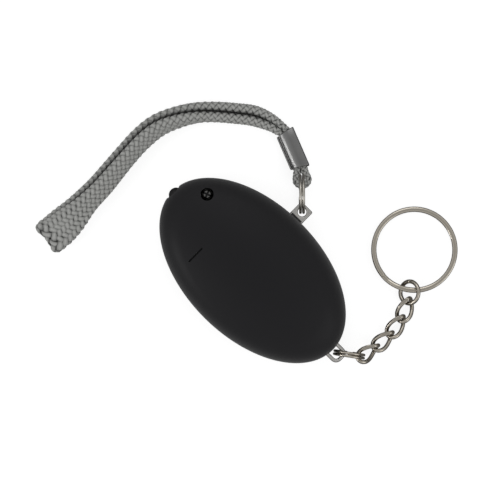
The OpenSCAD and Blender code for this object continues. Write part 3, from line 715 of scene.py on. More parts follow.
def carve(made: bpy.types.Object, *cutters: np.ndarray) -> None:
    """Cuts closed shapes out of a piece.

    Args:
        made: The piece, changed in place.
        cutters: Rings of each shape. The shapes don't touch each other.
    """
    buffer = MeshBuffer()
    for rings in cutters:
        buffer.loft(rings)
    cutter = buffer.piece(f"{made.name}_cutter")
    change = made.modifiers.new("opening", "BOOLEAN")
    change.object = cutter
    change.solver = "EXACT"
    apply_modifiers(made)
    bpy.data.objects.remove(cutter)


def dress(made: bpy.types.Object, body: Body, slot: str, *nodes: str) -> bpy.types.Object:
    """Puts a piece on its body in place of CAD nodes.

    Args:
        made: The piece.
        body: Body it rides on.
        slot: Slot of the record that gives its finish; not used.
        nodes: CAD nodes it stands for.

    Returns:
        The piece.
    """
    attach(made, body.value)
    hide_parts(*nodes)
    LOG.info("%s rides on %s: %d faces", made.name, body.value, len(made.data.polygons))
    return made


# Casing and button


@dataclass
class Dome:
    """Half of the casing's outside: a dome arc that runs into an edge arc, stretched along Y.

    Its sign is 1 for the rear half and -1 for the front, whose dome is cut flat at a height.
    """

    half_w: float
    half_l: float
    height: float
    edge_r: float
    sign: int
    flat: float = math.inf
    middle_r: float = 0.25

    @property
    def stretch(self) -> float:
        """Length over width."""
        return self.half_l / self.half_w

    @property
    def dome_r(self) -> float:
        """Radius of the dome arc."""
        flank = (self.half_w - self.edge_r) ** 2 + self.height**2 - self.edge_r**2
        return flank / (2 * (self.height - self.edge_r))

    @property
    def join(self) -> float:
        """Distance from the middle at which the arcs meet."""
        return (self.half_w - self.edge_r) * self.dome_r / (self.dome_r - self.edge_r)

    def rise(self, r: np.ndarray | float) -> np.ndarray:
        """Height of the surface above the parting plane, before it is cut flat.

        Args:
            r: Distance from the middle, across the width.

        Returns:
            The height there.
        """
        dome = self.height - self.dome_r + np.sqrt(np.maximum(0, self.dome_r**2 - r**2))
        edge = np.sqrt(np.maximum(0, self.edge_r**2 - (r - self.half_w + self.edge_r) ** 2))
        return np.where(r < self.join, dome, edge)

    def outline(self, dome_steps: int, edge_steps: int) -> np.ndarray:
        """Half profile from the middle to the parting plane.

        Args:
            dome_steps: Points on the dome arc.
            edge_steps: Points on the edge arc.

        Returns:
            Rows of (distance, height).
        """
        centre = self.half_w - self.edge_r
        start = math.acos((self.join - centre) / self.edge_r)
        r = np.linspace(self.middle_r, self.join, dome_steps, endpoint=False)
        q = np.linspace(start, 0.0, edge_steps)
        edge = np.stack([centre + self.edge_r * np.cos(q), self.edge_r * np.sin(q)], axis=1)
        profile = np.vstack([np.stack([r, self.rise(r)], axis=1), edge])
        profile[:, 1] = np.minimum(profile[:, 1], self.flat)
        return profile

    def normals(self, points: np.ndarray) -> tuple[np.ndarray, np.ndarray]:
        """Exact normals of the surface.

        Args:
            points: Places, counted from the middle of the parting plane.

        Returns:
            The normals, and how far each place is off the surface.
        """
        squash = [1.0, 1.0 / self.stretch, self.sign]
        flat = points * squash
        r = np.maximum(np.linalg.norm(flat[:, :2], axis=1), TINY)
        on_dome = r < self.join
        n_r = np.where(on_dome, r, r - self.half_w + self.edge_r)
        n_z = np.where(on_dome, flat[:, 2] - self.height + self.dome_r, flat[:, 2])
        off = np.abs(np.hypot(n_r, n_z) - np.where(on_dome, self.dome_r, self.edge_r))
        spoke = flat[:, :2] / r[:, None]
        return unit(np.column_stack([spoke * n_r[:, None], n_z]) * squash), off


@dataclass
class Casing:
    """The two covers of the pebble, with their openings.

    Openings reach the given depth in from the casing's outside; their cutters stand past it.
    """

    length: float = 65.0
    width: float = 39.0
    rear_h: float = 10.5
    front_h: float = 7.5
    rear_edge: float = 8.0
    front_edge: float = 6.5
    rest_cut: float = 0.5
    wall: float = 1.6
    seam: float = 0.35
    lip_soft: float = 0.14
    lip_round: float = 0.3
    past: float = 4.0
    screw: tuple[float, float] = SCREW_AT
    recess_d: float = 3.8
    recess_deep: float = 2.6
    mark: tuple[float, float] = (-8.4, 14.75)
    mark_l: float = 5.8
    mark_w: float = 0.46
    mark_deep: float = 0.9
    spot_d: float = 5.4
    spot_deep: float = 1.0
    button_bore: float = 4.5
    button_deep: float = 3.5
    pin_y: float = 1.7
    pin_slot_w: float = 4.95
    pin_slot_z: tuple[float, float] = (6.55, 8.65)
    pin_slot_deep: float = 3.6
    bail_x: float = 1.95
    bail_bore: float = 1.4
    bail_deep: float = 4.0
    sounder_y: float = 6.5
    hole_d: float = 1.2
    hole_step: float = 2.4
    hole_deep: float = 2.6
    around: int = 256
    bore_sides: int = 64
    bail_sides: int = 32
    hole_sides: int = 24
    outside_steps: tuple[int, int] = (56, 26)
    inside_steps: tuple[int, int] = (30, 14)
    least_step: float = 0.02
    smooth_below: float = 35.0
    on_surface: float = 0.01
    facing: float = 0.9

    @property
    def tip(self) -> float:
        """Distance from the middle to the casing's ends."""
        return self.length / 2

    @property
    def rear(self) -> Dome:
        """Outside of the rear cover."""
        return Dome(self.width / 2, self.tip, self.rear_h, self.rear_edge, 1)

    @property
    def front(self) -> Dome:
        """Outside of the front cover, with the flat that the part rests on."""
        height = self.front_h + self.rest_cut
        return Dome(self.width / 2, self.tip, height, self.front_edge, -1, self.front_h)

    def inside(self, dome: Dome) -> Dome:
        """The same half, one wall further in."""
        sizes = (dome.half_w, dome.half_l, dome.height, dome.edge_r)
        return Dome(*(size - self.wall for size in sizes), dome.sign)

    def top(self, x: float, y: float) -> float:
        """Height of the rear cover's outside at a place."""
        return self.front_h + float(self.rear.rise(np.hypot(x, y / self.rear.stretch)))

    def rings(self, profile: np.ndarray, dome: Dome) -> np.ndarray:
        """Rings of the stretched round surface through a half profile.

        Args:
            profile: Rows of (distance, height) from the parting plane.
            dome: The half, for its stretch and sign.

        Returns:
            Points by ring and place.
        """
        x, y = (profile[:, :1] * column for column in oval(self.around).T)
        z = np.broadcast_to(self.front_h + dome.sign * profile[:, 1:], x.shape)
        return np.stack([x, y * dome.stretch, z], axis=-1)

    def rim(self, seam: float) -> np.ndarray:
        """Softened parting edge of a cover, from outside to inside.

        Args:
            seam: Height and depth of the step that leaves a seam, or 0.

        Returns:
            Rows of (distance, height).
        """
        soft, half_w = self.lip_soft, self.width / 2
        shares = ((0.0, 1.0), (self.lip_round, self.lip_round), (1.0, 0.0))
        edge = [(half_w - inwards * soft, seam + up * soft) for inwards, up in shares]
        step = [(half_w - seam, seam), (half_w - seam, 0.0)] if seam else []
        return np.array(edge + step)

    def shell(self, name: str, dome: Dome, seam: float) -> bpy.types.Object:
        """Closed shell of one cover, without its openings.

        Args:
            name: Name of the piece.
            dome: Outside of the cover.
            seam: Step in its parting edge.

        Returns:
            The shell.
        """
        rim, inner = self.rim(seam), self.inside(dome)
        outside = dome.outline(*self.outside_steps)
        outside = outside[outside[:, 1] > rim[0, 1] + self.least_step]
        inside = inner.outline(*self.inside_steps)[::-1]
        layers = [self.rings(np.vstack([outside, rim]), dome), self.rings(inside, inner)]
        return skin(name, np.concatenate(layers), SOFT_BLACK)

    def shared_cuts(self) -> list[np.ndarray]:
        """Openings on the parting plane.

        Returns:
            Cutters of the pin slot, button bore and bail bores.
        """
        tip, z, past = self.tip, self.front_h, self.past
        (low, high), half, edge_x = self.pin_slot_z, self.pin_slot_w / 2, self.width / 2
        slot = block(
            (edge_x - self.pin_slot_deep, self.pin_y - half, low),
            (edge_x + past, self.pin_y + half, high),
        )
        ends = (0, tip - self.button_deep, z), (0, tip + past, z)
        cuts = [slot, cylinder(self.button_bore, *ends, self.bore_sides)]
        for x in (-self.bail_x, self.bail_x):
            ends = (x, self.bail_deep - tip, z), (x, -tip - past, z)
            cuts.append(cylinder(self.bail_bore, *ends, self.bail_sides))
        return cuts

    def spot_face(self) -> np.ndarray:
        """Shallow round seat that the button stands in."""
        ends = (0, self.tip - self.spot_deep, self.front_h), (0, self.tip + self.past, self.front_h)
        return cylinder(self.spot_d, *ends, self.bore_sides)

    def rear_cuts(self) -> list[np.ndarray]:
        """Openings of the rear cover alone.

        Returns:
            Cutters of the screw recess and of the fine moulded line.
        """
        x, y = self.screw
        top = self.top(x, y)
        ends = (x, y, top - self.recess_deep), (x, y, top + self.past)
        mark_x, mark_y = self.mark
        half_l, half_w = self.mark_l / 2, self.mark_w / 2
        fall = self.top(mark_x - half_l, mark_y) - self.top(mark_x + half_l, mark_y)
        lean = turn(0, math.degrees(math.atan2(fall, self.mark_l)), 0)
        groove = block((-half_l, -half_w, -self.mark_deep), (half_l, half_w, self.past))
        return [
            cylinder(self.recess_d, *ends, self.bore_sides),
            groove @ lean.T + [mark_x, mark_y, self.top(mark_x, mark_y)],
        ]

    def front_cuts(self) -> list[np.ndarray]:
        """Openings of the front cover alone.

        Returns:
            Cutters of the sound holes: one in the middle and two rings round it.
        """
        places = [np.zeros(3)]
        for ring in (1, 2):
            places += [ring * self.hole_step * heading(60 * k / ring) for k in range(6 * ring)]
        low, high = (np.array([0.0, self.sounder_y, z]) for z in (-self.past, self.hole_deep))
        return [cylinder(self.hole_d, low + p, high + p, self.hole_sides) for p in places]

    def true_normals(self, shell: bpy.types.Object, dome: Dome) -> None:
        """Sets the dome's exact normals on the faces that lie on it, so that it stays smooth.

        Args:
            shell: The shell.
            dome: Outside of the cover.
        """
        mesh = shell.data
        settle_normals(mesh, self.smooth_below)
        normal, off = dome.normals(fetch(mesh.vertices, "co", 3) / MM - UP * self.front_h)
        corners = fetch(mesh.loops, "vertex_index", kind=int)
        normal, off = normal[corners], off[corners]
        counts = fetch(mesh.polygons, "loop_total", kind=int)
        flats = np.repeat(fetch(mesh.polygons, "normal", 3), counts, axis=0)
        along = np.einsum("ij,ij->i", flats, normal)
        on = (off < self.on_surface) & (along > self.facing)
        current = fetch(mesh.corner_normals, "vector", 3)
        current[on] = normal[on]
        mesh.normals_split_custom_set(current.tolist())

    def build(self) -> list[bpy.types.Object]:
        """Makes both covers.

        Returns:
            The rear and the front cover.
        """
        shared, spot = self.shared_cuts(), self.spot_face()
        covers = []
        for side, dome, seam, cuts in (
            ("rear", self.rear, 0.0, self.rear_cuts()),
            ("front", self.front, self.seam, self.front_cuts()),
        ):
            shell = self.shell(f"{side}_shell", dome, seam)
            carve(shell, *cuts, *shared)
            carve(shell, spot)
            self.true_normals(shell, dome)
            covers.append(dress(shell, Body.CASING, "casing", f"{side}_cover"))
        return covers


@dataclass
class PushButton:
    """Round-ended cap in the tip of the casing, with its flange and stem.

    Places along it are counted inwards from the casing's tip.
    """

    case: Casing
    proud: float = 0.6
    cap_d: float = 4.3
    cap_turn: float = 86.0
    cap_steps: int = 16
    flange_d: float = 5.4
    flange_in: tuple[float, float] = (2.85, 2.05)
    stem_d: float = 2.4
    stem_in: float = 5.25
    sides: int = 48

    def build(self) -> list[bpy.types.Object]:
        """Makes the button.

        Returns:
            The button, alone.
        """
        dome, flange, stem = (d / 2 for d in (self.cap_d, self.flange_d, self.stem_d))
        tip = self.case.tip
        inner, outer = (tip - depth for depth in self.flange_in)
        q = np.radians(np.linspace(0, self.cap_turn, self.cap_steps))
        profile = [
            (stem, tip - self.stem_in), (stem, inner), (flange, inner), (flange, outer), (dome, outer),
            *zip(dome * np.cos(q), tip + self.proud - dome + dome * np.sin(q)),
        ]
        x, z = oval(self.sides).T
        rings = [
            np.stack([r * x, np.full_like(x, y), self.case.front_h + r * z], axis=1)
            for r, y in profile
        ]
        cap = skin("button_cap", np.array(rings), GLOSS_BLACK)
        return [dress(cap, Body.BUTTON, "button", "push_button")]


# Pull pin and its ring


@dataclass
class SplitRing:
    """Two-turn split ring: the wire climbs a layer just before it passes over its own start.

    Angles run along the wire; start is where its first end stands, and tip is the length of its
    rounded ends as a share of its height.
    """

    outside_d: float
    radial: float
    turn_h: float
    gap: float = 0.1
    start: float = -74.0
    climb_from: float = 332.0
    climb_to: float = 356.0
    last: float = 686.0
    tip: float = 0.25
    steps: int = 230
    sides: int = 14
    power: float = 2.0

    @property
    def middle(self) -> float:
        """Radius at the middle of the wire."""
        return (self.outside_d - self.radial) / 2

    def reach(self, drop: float) -> float:
        """Level distance from the middle of a standing ring to its wire, that far below it."""
        return math.sqrt(self.middle**2 - drop**2)

    def rings(self) -> np.ndarray:
        """Rings of the wire round Z.

        Returns:
            Points by ring and place.
        """
        angle = np.linspace(0, self.last, self.steps)
        climb = ease((angle - self.climb_from) / (self.climb_to - self.climb_from))
        out = heading(angle)
        path = out * self.middle
        path[:, 2] = (climb - 0.5) * (self.turn_h + self.gap)
        section = oval(self.sides, self.power) * [self.radial / 2, self.turn_h / 2]
        swept = sweep(path, out, np.tile(UP, (len(angle), 1)), section)
        return rounded_ends(swept, path, self.tip * self.turn_h)

    def piece(self, name: str, lie: np.ndarray, at: np.ndarray, finish: Finish) -> bpy.types.Object:
        """Makes the ring.

        Args:
            name: Name of the piece.
            lie: Rotation that lays the ring.
            at: Its middle.
            finish: Its finish.

        Returns:
            The piece.
        """
        spin = lie @ turn(0, 0, self.start)
        return skin(name, self.rings() @ spin.T + at, finish)


@dataclass
class PullPin:
    """Metal tab with its eye, set in black painted shadow, and the split ring through the eye."""

    case: Casing
    tab_w: float = 4.65
    tab_t: float = 1.6
    tab_out: float = 4.6
    tab_in: float = 2.2
    tab_corner: float = 0.5
    corner_steps: int = 7
    tab_bevel: float = 0.36
    bevel_steps: int = 3
    bevel_above: float = 50.0
    sharp: float = 20.0
    # Black collar of painted shadow where the tab leaves the casing
    collar_in: float = 1.0
    collar_out: float = 0.6
    collar_grow: float = 0.02
    collar_chamfer: float = 0.12
    collar_power: float = 8.0
    collar_sides: int = 32
    eye_d: float = 2.5
    eye_edge: float = 2.1
    eye_sides: int = 48
    ring: SplitRing = field(default_factory=lambda: SplitRing(11.5, 0.8, 0.8))
    ring_dir: float = 45.0
    ring_drop: float = 1.2

    def __post_init__(self) -> None:
        """Works out where the tab, its eye and the ring sit."""
        self.root = np.array([0.0, self.case.pin_y, self.case.front_h])
        share = self.case.pin_y / self.case.tip
        self.edge_x = self.case.width / 2 * math.sqrt(1 - share**2)
        self.tab_end = self.edge_x + self.tab_out
        self.eye_at = self.root + [self.tab_end - self.eye_edge, 0.0, 0.0]
        way = heading(self.ring_dir)
        self.ring_at = self.eye_at + way * self.ring.reach(self.ring_drop) - UP * self.ring_drop

    def plate(self) -> bpy.types.Object:
        """Plate with rounded corners, an eye and softened edges.

        Returns:
            The plate.
        """
        inner, c = self.edge_x - self.tab_in, self.tab_corner
        w, t = self.tab_w / 2, self.tab_t / 2
        arc = np.radians(np.linspace(0, 90, self.corner_steps))
        side = [(self.tab_end - c + c * math.cos(q), w - c + c * math.sin(q)) for q in arc]
        edge = [*side, (inner, w), (inner, -w), *[(x, -y) for x, y in side[::-1]]]
        rings = np.array([[(x, y, z) for x, y in edge] for z in (-t, t)])
        made = skin("pin_tab", rings + self.root, BRIGHT_PLATE)
        hole = oval(self.eye_sides) * self.eye_d / 2
        carve(made, np.array([[(x, y, z) for x, y in hole] for z in (-2 * t, 2 * t)]) + self.eye_at)
        bevel = made.modifiers.new("softened", "BEVEL")
        bevel.width = self.tab_bevel * MM
        bevel.segments = self.bevel_steps
        bevel.limit_method = "ANGLE"
        bevel.angle_limit = math.radians(self.bevel_above)
        bevel.use_clamp_overlap = False
        apply_modifiers(made)
        return made

    def shadow_collar(self) -> bpy.types.Object:
        """Black collar of painted shadow that the plate's root is set in, in the second slot.

        Returns:
            The collar, to be joined to the plate.
        """
        size = np.array([self.tab_w, self.tab_t]) / 2 + self.collar_grow
        out, chamfer = self.edge_x + self.collar_out, self.collar_chamfer
        rings = []
        for x, less in ((self.edge_x - self.collar_in, 0.0), (out - chamfer, 0.0), (out, chamfer)):
            section = oval(self.collar_sides, self.collar_power) * (size - less)
            rings.append([(x, y, z) for y, z in section])
        return skin("pin_shadow_collar", np.array(rings) + self.root, slot=1)

    def tab(self) -> bpy.types.Object:
        """Plate and its black collar of painted shadow as one piece.

        Returns:
            The tab.
        """
        plate, shadow_collar = self.plate(), self.shadow_collar()
        # Second slot: black paint for the shadow at the tab's root
        plate.data.materials.append(MOULDED_BLACK_AND_SHADOW.material())
        both = bmesh.new()
        for made in (plate, shadow_collar):
            both.from_mesh(made.data)
        both.to_mesh(plate.data)
        both.free()
        bpy.data.objects.remove(shadow_collar)
        settle_normals(plate.data, self.sharp)
        return plate

    def pin_ring(self) -> bpy.types.Object:
        """Split ring that stands through the eye."""
        on_edge = turn(90, 0, self.ring_dir)
        return self.ring.piece("pin_ring_wire", on_edge, self.ring_at, SATIN_NICKEL)

    def build(self) -> list[bpy.types.Object]:
        """Makes the tab and the ring.

        Returns:
            The pieces.
        """
        return [
            dress(self.tab(), Body.PIN, "pin_metal", "pull_pin_tab"),
            dress(self.pin_ring(), Body.PIN_RING, "nickel_wire", "pin_ring"),
        ]


# Wrist strap


@dataclass
class Braid:
    """A flat tubular braid: strands wind both ways round an oblong section, over and under.

    The path, its frame (across and out), the width, thickness and draw have a row for each
    sample. Draw pulls the middle of the braid aside. Mate is how far the other leg's face is.
    """

    path: np.ndarray
    across: np.ndarray
    out: np.ndarray
    width: np.ndarray
    thick: np.ndarray
    draw: np.ndarray
    strands: int = 6
    yarn_t: float = 0.8
    weave: float = 0.3
    narrow: float = 4.0
    narrow_pitch: float = 2.0
    wide: float = 8.4
    wide_pitch: float = 1.74
    give: float = 2.0
    sides: int = 8
    per_crossing: float = 4.4
    mate: float = 9.0
    # Painted shade on faces towards the other leg, and where a strand dives under
    mate_from: float = 0.35
    mate_fade: float = 0.7
    dive: float = 0.6
    dive_shade: float = 0.3
    # Painted shade at the sides of each strand, in the grooves between strands
    groove: float = 0.10
    groove_from: float = 0.2
    core_drop: float = 0.32
    core_step: float = 1.2
    core_least: int = 24
    core_sides: int = 20
    sharp: float = 100.0

    def __post_init__(self) -> None:
        """Works out the length along the path and the winding."""
        steps = np.linalg.norm(np.diff(self.path, axis=0), axis=1)
        self.along = np.concatenate([[0.0], np.cumsum(steps)])
        proud = 2 * self.weave + self.yarn_t
        self.base_w = self.width - proud
        self.base_t = self.thick - proud
        self.round = 2 * (self.base_w - self.base_t) + math.pi * self.base_t
        opened = ease((self.width - self.narrow) / (self.wide - self.narrow))
        self.rate = 1.0 / (self.strands * mix(self.narrow_pitch, self.wide_pitch, opened))
        mean = (self.rate[1:] + self.rate[:-1]) / 2
        self.turns = np.concatenate([[0.0], np.cumsum(mean * steps)])

    def section(self, u: np.ndarray, w: np.ndarray, t: np.ndarray) -> tuple[np.ndarray, np.ndarray]:
        """Place and normal on the oblong section.

        Args:
            u: Share of the way round, from the middle of the outer face.
            w: Width of the section.
            t: Thickness of the section.

        Returns:
            (x, y) across and through, and the normal there.
        """
        flat, arc = w - t, math.pi * t / 2
        s = (u % 1.0) * 2 * (flat + arc)
        first = np.clip(s, 0, flat / 2)
        q1 = np.clip(s - flat / 2, 0, arc) / (t / 2)
        back = np.clip(s - flat / 2 - arc, 0, flat)
        q2 = np.clip(s - 1.5 * flat - arc, 0, arc) / (t / 2)
        last = np.clip(s - 1.5 * flat - 2 * arc, 0, flat / 2)
        q = math.pi / 2 - q1 - q2
        normal = np.stack([np.cos(q), np.sin(q)], axis=-1)
        x = first - back + last + t / 2 * np.cos(q)
        return np.stack([x, t / 2 * np.sin(q)], axis=-1), normal

    def sample(self, values: np.ndarray, at: np.ndarray) -> np.ndarray:
        """Values that go with the path, between its samples.

        Args:
            values: Numbers or rows, one for each sample of the path.
            at: Lengths along the path.

        Returns:
            The numbers or rows there.
        """
        if values.ndim == 1:
            return np.interp(at, self.along, values)
        return np.stack([np.interp(at, self.along, column) for column in values.T], axis=1)

    def surface(
        self, at: np.ndarray, u: np.ndarray, lift: np.ndarray
    ) -> tuple[np.ndarray, np.ndarray]:
        """Points on the braid's middle surface.

        Args:
            at: Lengths along the path.
            u: Share of the way round.
            lift: Height above the surface.

        Returns:
            The points and the normals there.
        """
        w = self.sample(self.base_w, at)
        place, normal = self.section(u, w, self.sample(self.base_t, at))
        across, out = unit(self.sample(self.across, at)), unit(self.sample(self.out, at))
        n = normal[:, :1] * across + normal[:, 1:] * out
        inward = 1 - (2 * place[:, :1] / w[:, None]) ** 2
        flat = self.sample(self.path, at) + place[:, :1] * across + place[:, 1:] * out
        return flat + n * lift[:, None] + self.sample(self.draw, at) * inward, n

    def strand(self, number: int, way: int) -> tuple[np.ndarray, np.ndarray]:
        """Rings of one strand.

        Args:
            number: Which strand.
            way: 1 or -1 for the two ways round.

        Returns:
            Points by ring and place, and each point's painted light: painted shade between strands and
            legs.
        """
        crossing = 2 * self.strands * self.turns
        m = np.arange(0, crossing[-1], 1.0 / self.per_crossing)
        at = np.interp(m, crossing, self.along)
        u = number / self.strands + way * self.sample(self.turns, at)
        over = way * np.cos(math.pi * m)
        path, normal = self.surface(at, u, self.weave * over)
        step = np.gradient(path, axis=0)
        along = unit(step)
        side = unit(np.cross(normal, along))
        girth = self.sample(self.round, at) + math.pi * (self.weave + self.yarn_t / 2)
        slope = girth * self.sample(self.rate, at)
        plain = np.hypot(1.0, slope) * np.gradient(at)
        stretch = np.clip(np.linalg.norm(step, axis=1) / plain, 1.0, self.give)
        wide = stretch * girth / self.strands * np.cos(np.arctan(slope))
        outline = oval(self.sides)
        size = np.stack([wide, np.full_like(wide, self.yarn_t)], axis=1)
        rings = sweep(path, side, np.cross(along, side), outline / 2 * size[:, None])
        # Painted shade: darker towards the other leg, where the strand dives, and at its sides
        out = unit(self.sample(self.out, at))
        off = np.einsum("ij,ij->i", path - self.sample(self.path, at), out)
        shade_by_leg = ease((off + self.mate - self.mate_from) / self.mate_fade)
        shade_by_dive = mix(self.dive_shade, 1.0, ease((over + self.dive) / (2 * self.dive)))
        crown = ease((outline[:, 1] - self.groove_from) / (1 - self.groove_from))
        return rings, (shade_by_leg * shade_by_dive)[:, None] * mix(self.groove, 1.0, crown)

    def shade_tube(self) -> np.ndarray:
        """Tube in full painted shade, that shows between strands.

        Returns:
            Points by ring and place.
        """
        count = max(self.core_least, int(self.along[-1] / self.core_step))
        u = np.linspace(0, 1, self.core_sides, endpoint=False)
        lift = np.full_like(u, -self.core_drop)
        at = np.linspace(0, self.along[-1], count)
        return np.array([self.surface(np.full_like(u, s), u, lift)[0] for s in at])

    def piece(self, name: str) -> bpy.types.Object:
        """Makes all strands and the painted shade tube as one piece.

        Args:
            name: Name of the piece.

        Returns:
            The piece.
        """
        buffer = MeshBuffer()
        for number in range(self.strands):
            for way in (1, -1):
                rings, tone = self.strand(number, way)
                buffer.loft(rings, tone=tone)
        # The tube under the strands is all painted shade
        buffer.loft(self.shade_tube(), tone=0.0)
        return buffer.piece(name, GREY_YARN, sharp=self.sharp)


@dataclass
class Legs:
    """Middle line of the folded strap, its frame, and the size and distance of its legs."""

    mid: np.ndarray
    across: np.ndarray
    through: np.ndarray
    width: np.ndarray
    thick: np.ndarray
    step: np.ndarray


@dataclass
class WristStrap:
    """Small braid eye on the pin's ring, crimped ferrule, and the long folded braid.

    The route runs from the ferrule's mouth to the fold. A row of lean_and_width goes with each
    even share of the route. Each row of mouth_roll is a place from the mouth and a share of the wall.
    """

    pin: PullPin
    eye_drop: float = 2.2
    eye_dir: float = 54.0
    eye_reach: float = 2.9
    eye_lateral: float = 1.85
    eye_flare: float = 0.64
    eye_open: float = 1.6
    eye_open_drop: float = 0.45
    eye_bend: float = 0.6
    eye_bend_step: float = 30.0
    eye_samples: int = 14
    eye_w: float = 2.5
    eye_t: float = 1.95
    eye_neck: float = 0.1
    eye_neck_t: float = 2.35
    eye_neck_from: float = 0.5
    eye_neck_over: float = 0.16
    eye_strands: int = 5
    eye_yarn_t: float = 0.5
    eye_weave: float = 0.16
    eye_pitch: float = 1.7
    ferrule_dir: float = 68.0
    ferrule_l: float = 11.1
    ferrule_w: float = 5.6
    ferrule_h: float = 4.4
    ferrule_wall: float = 0.4
    ferrule_corner: float = 1.1
    ferrule_edge: float = 0.45
    ferrule_roll: float = 4.3
    ferrule_lean: float = 42.0
    ferrule_crown: float = 0.12
    ferrule_fall: float = 0.34
    ferrule_lap: float = 0.8
    ferrule_lap_least: float = 0.02
    ferrule_lap_round: float = 0.3
    ferrule_seam: float = 0.6
    ferrule_rise: float = 0.9
    ferrule_sharp: float = 50.0
    ferrule_arc_steps: int = 9
    ferrule_top_steps: int = 8
    mouth_skew: float = 0.5
    mouth_roll: tuple[tuple[float, float], ...] = (
        (0.3, 1.0), (0.1, 0.8), (0.0, 0.5), (0.1, 0.15), (0.3, 0.0),
    )
    floor_gap: float = 0.05
    grip_t: float = 2.2
    grip_press: float = 0.2
    grip_gap: float = 0.3
    cord_d: float = 8.4
    braid_t: float = 3.3
    leg_step: float = 2.98
    leg_samples: int = 12
    fold_steps: int = 15
    fold_hollow: float = 0.8
    fold_reach: float = 6.0
    bloom: float = 0.14
    untwist: float = 0.03
    route: tuple[tuple[float, float], ...] = (
        (0, 0), (-0.8, 4.7), (-2.9, 9.75), (-6.3, 14.2), (-10, 18.5), (-13.9, 22.1), (-18.9, 25.2),
        (-24.5, 27.5), (-30.5, 28.2), (-36.5, 28), (-42.5, 27.5), (-48.5, 27), (-54.5, 26.9),
        (-60.5, 26.6), (-66, 26.7), (-68.5, 27.0),
    )
    lean_and_width: tuple[tuple[float, float], ...] = (
        (0, 3.2), (4, 3.5), (10, 3.6), (20, 3.7), (36, 5.0), (46, 5.8), (50, 5.8), (53, 6.4),
        (57, 7.1), (69, 9.95), (74, 10.4),
    )

    def __post_init__(self) -> None:
        """Works out where the eye and the ferrule sit."""
        pin = self.pin
        reach = pin.ring.reach(self.eye_drop)
        self.wire_at = pin.ring_at + heading(pin.ring_dir) * reach - UP * self.eye_drop
        self.mouth_in = self.wire_at + heading(self.eye_dir) * self.eye_reach
        self.mouth_in[2] = self.ferrule_h / 2 + self.floor_gap + self.ferrule_rise
        self.axis = unit(heading(self.ferrule_dir) - UP * self.ferrule_rise / self.ferrule_l)
        self.side = heading(self.ferrule_dir + 90)
        self.mouth_out = self.mouth_in + self.axis * self.ferrule_l
        self.grip = (self.mouth_in + self.mouth_out) / 2
        self.grip_step = self.grip_t - self.grip_press

    def sleeve_outline(self, grow: float) -> list[tuple[float, float]]:
        """Outline of the sleeve: a box with round corners whose upper sheet stops short.

        Args:
            grow: How far outside the sleeve's own surface.

        Returns:
            Points in order.
        """
        half_w, half_h = self.ferrule_w / 2 + grow, self.ferrule_h / 2 + grow
        lap = self.ferrule_lap * max(self.ferrule_lap_least, 1 + grow / self.ferrule_wall)
        edge = self.ferrule_lap_round * lap
        radii = (self.ferrule_corner, self.ferrule_roll, self.ferrule_edge)
        corner, roll, sharp = (r + grow for r in radii)
        lean = 90 - self.ferrule_lean
        roll_x = half_w - lap - roll * math.cos(math.radians(lean))
        centres = (
            (roll_x, half_h - roll, roll, lean, 90),
            (sharp - half_w, half_h - sharp, sharp, 90, 180),
            (corner - half_w, corner - half_h, corner, 180, 270),
            (half_w - corner, corner - half_h, corner, 270, 360),
            (half_w - edge, self.ferrule_seam - edge, edge, 0, 90),
        )
        arcs = []
        for x, y, r, start, stop in centres:
            angles = np.radians(np.linspace(start, stop, self.ferrule_arc_steps))
            arcs.append([(x + r * math.cos(q), y + r * math.sin(q)) for q in angles])
        arcs.insert(1, np.linspace(arcs[0][-1], arcs[1][0], self.ferrule_top_steps)[1:-1].tolist())
        arcs.append([(half_w - lap, self.ferrule_seam)])
        crowned = []
        for x, y in (point for arc in arcs for point in arc):
            drop = self.ferrule_crown if x > 0 else self.ferrule_fall
            rise = self.ferrule_crown - drop * (x / half_w) ** 2
            crowned.append((x, y + rise * float(ease(y / half_h))))
        return crowned

    def ferrule(self) -> bpy.types.Object:
        """Crimped sleeve with rolled mouths and one pressed seam.

        Returns:
            The ferrule.
        """
        length = self.ferrule_l
        far_roll = [(length - along, share) for along, share in self.mouth_roll[::-1]]
        middle = [(share * length, 0.0) for share in (0.25, 0.5, 0.75)]
        rings = []
        for along, share in [(length / 2, 1.0), *self.mouth_roll, *middle, *far_roll]:
            x, y = np.array(self.sleeve_outline(-share * self.ferrule_wall)).T
            skew = self.mouth_skew * (2 * along / length - 1) * -2 * x / self.ferrule_w
            reach = self.axis * (along + skew)[:, None] + self.side * x[:, None]
            rings.append(self.mouth_in + reach + np.cross(self.axis, self.side) * y[:, None])
        buffer = MeshBuffer()
        buffer.loft(np.array(rings), closed=True)
        return buffer.piece("ferrule_sleeve", SATIN_STEEL, sharp=self.ferrule_sharp)

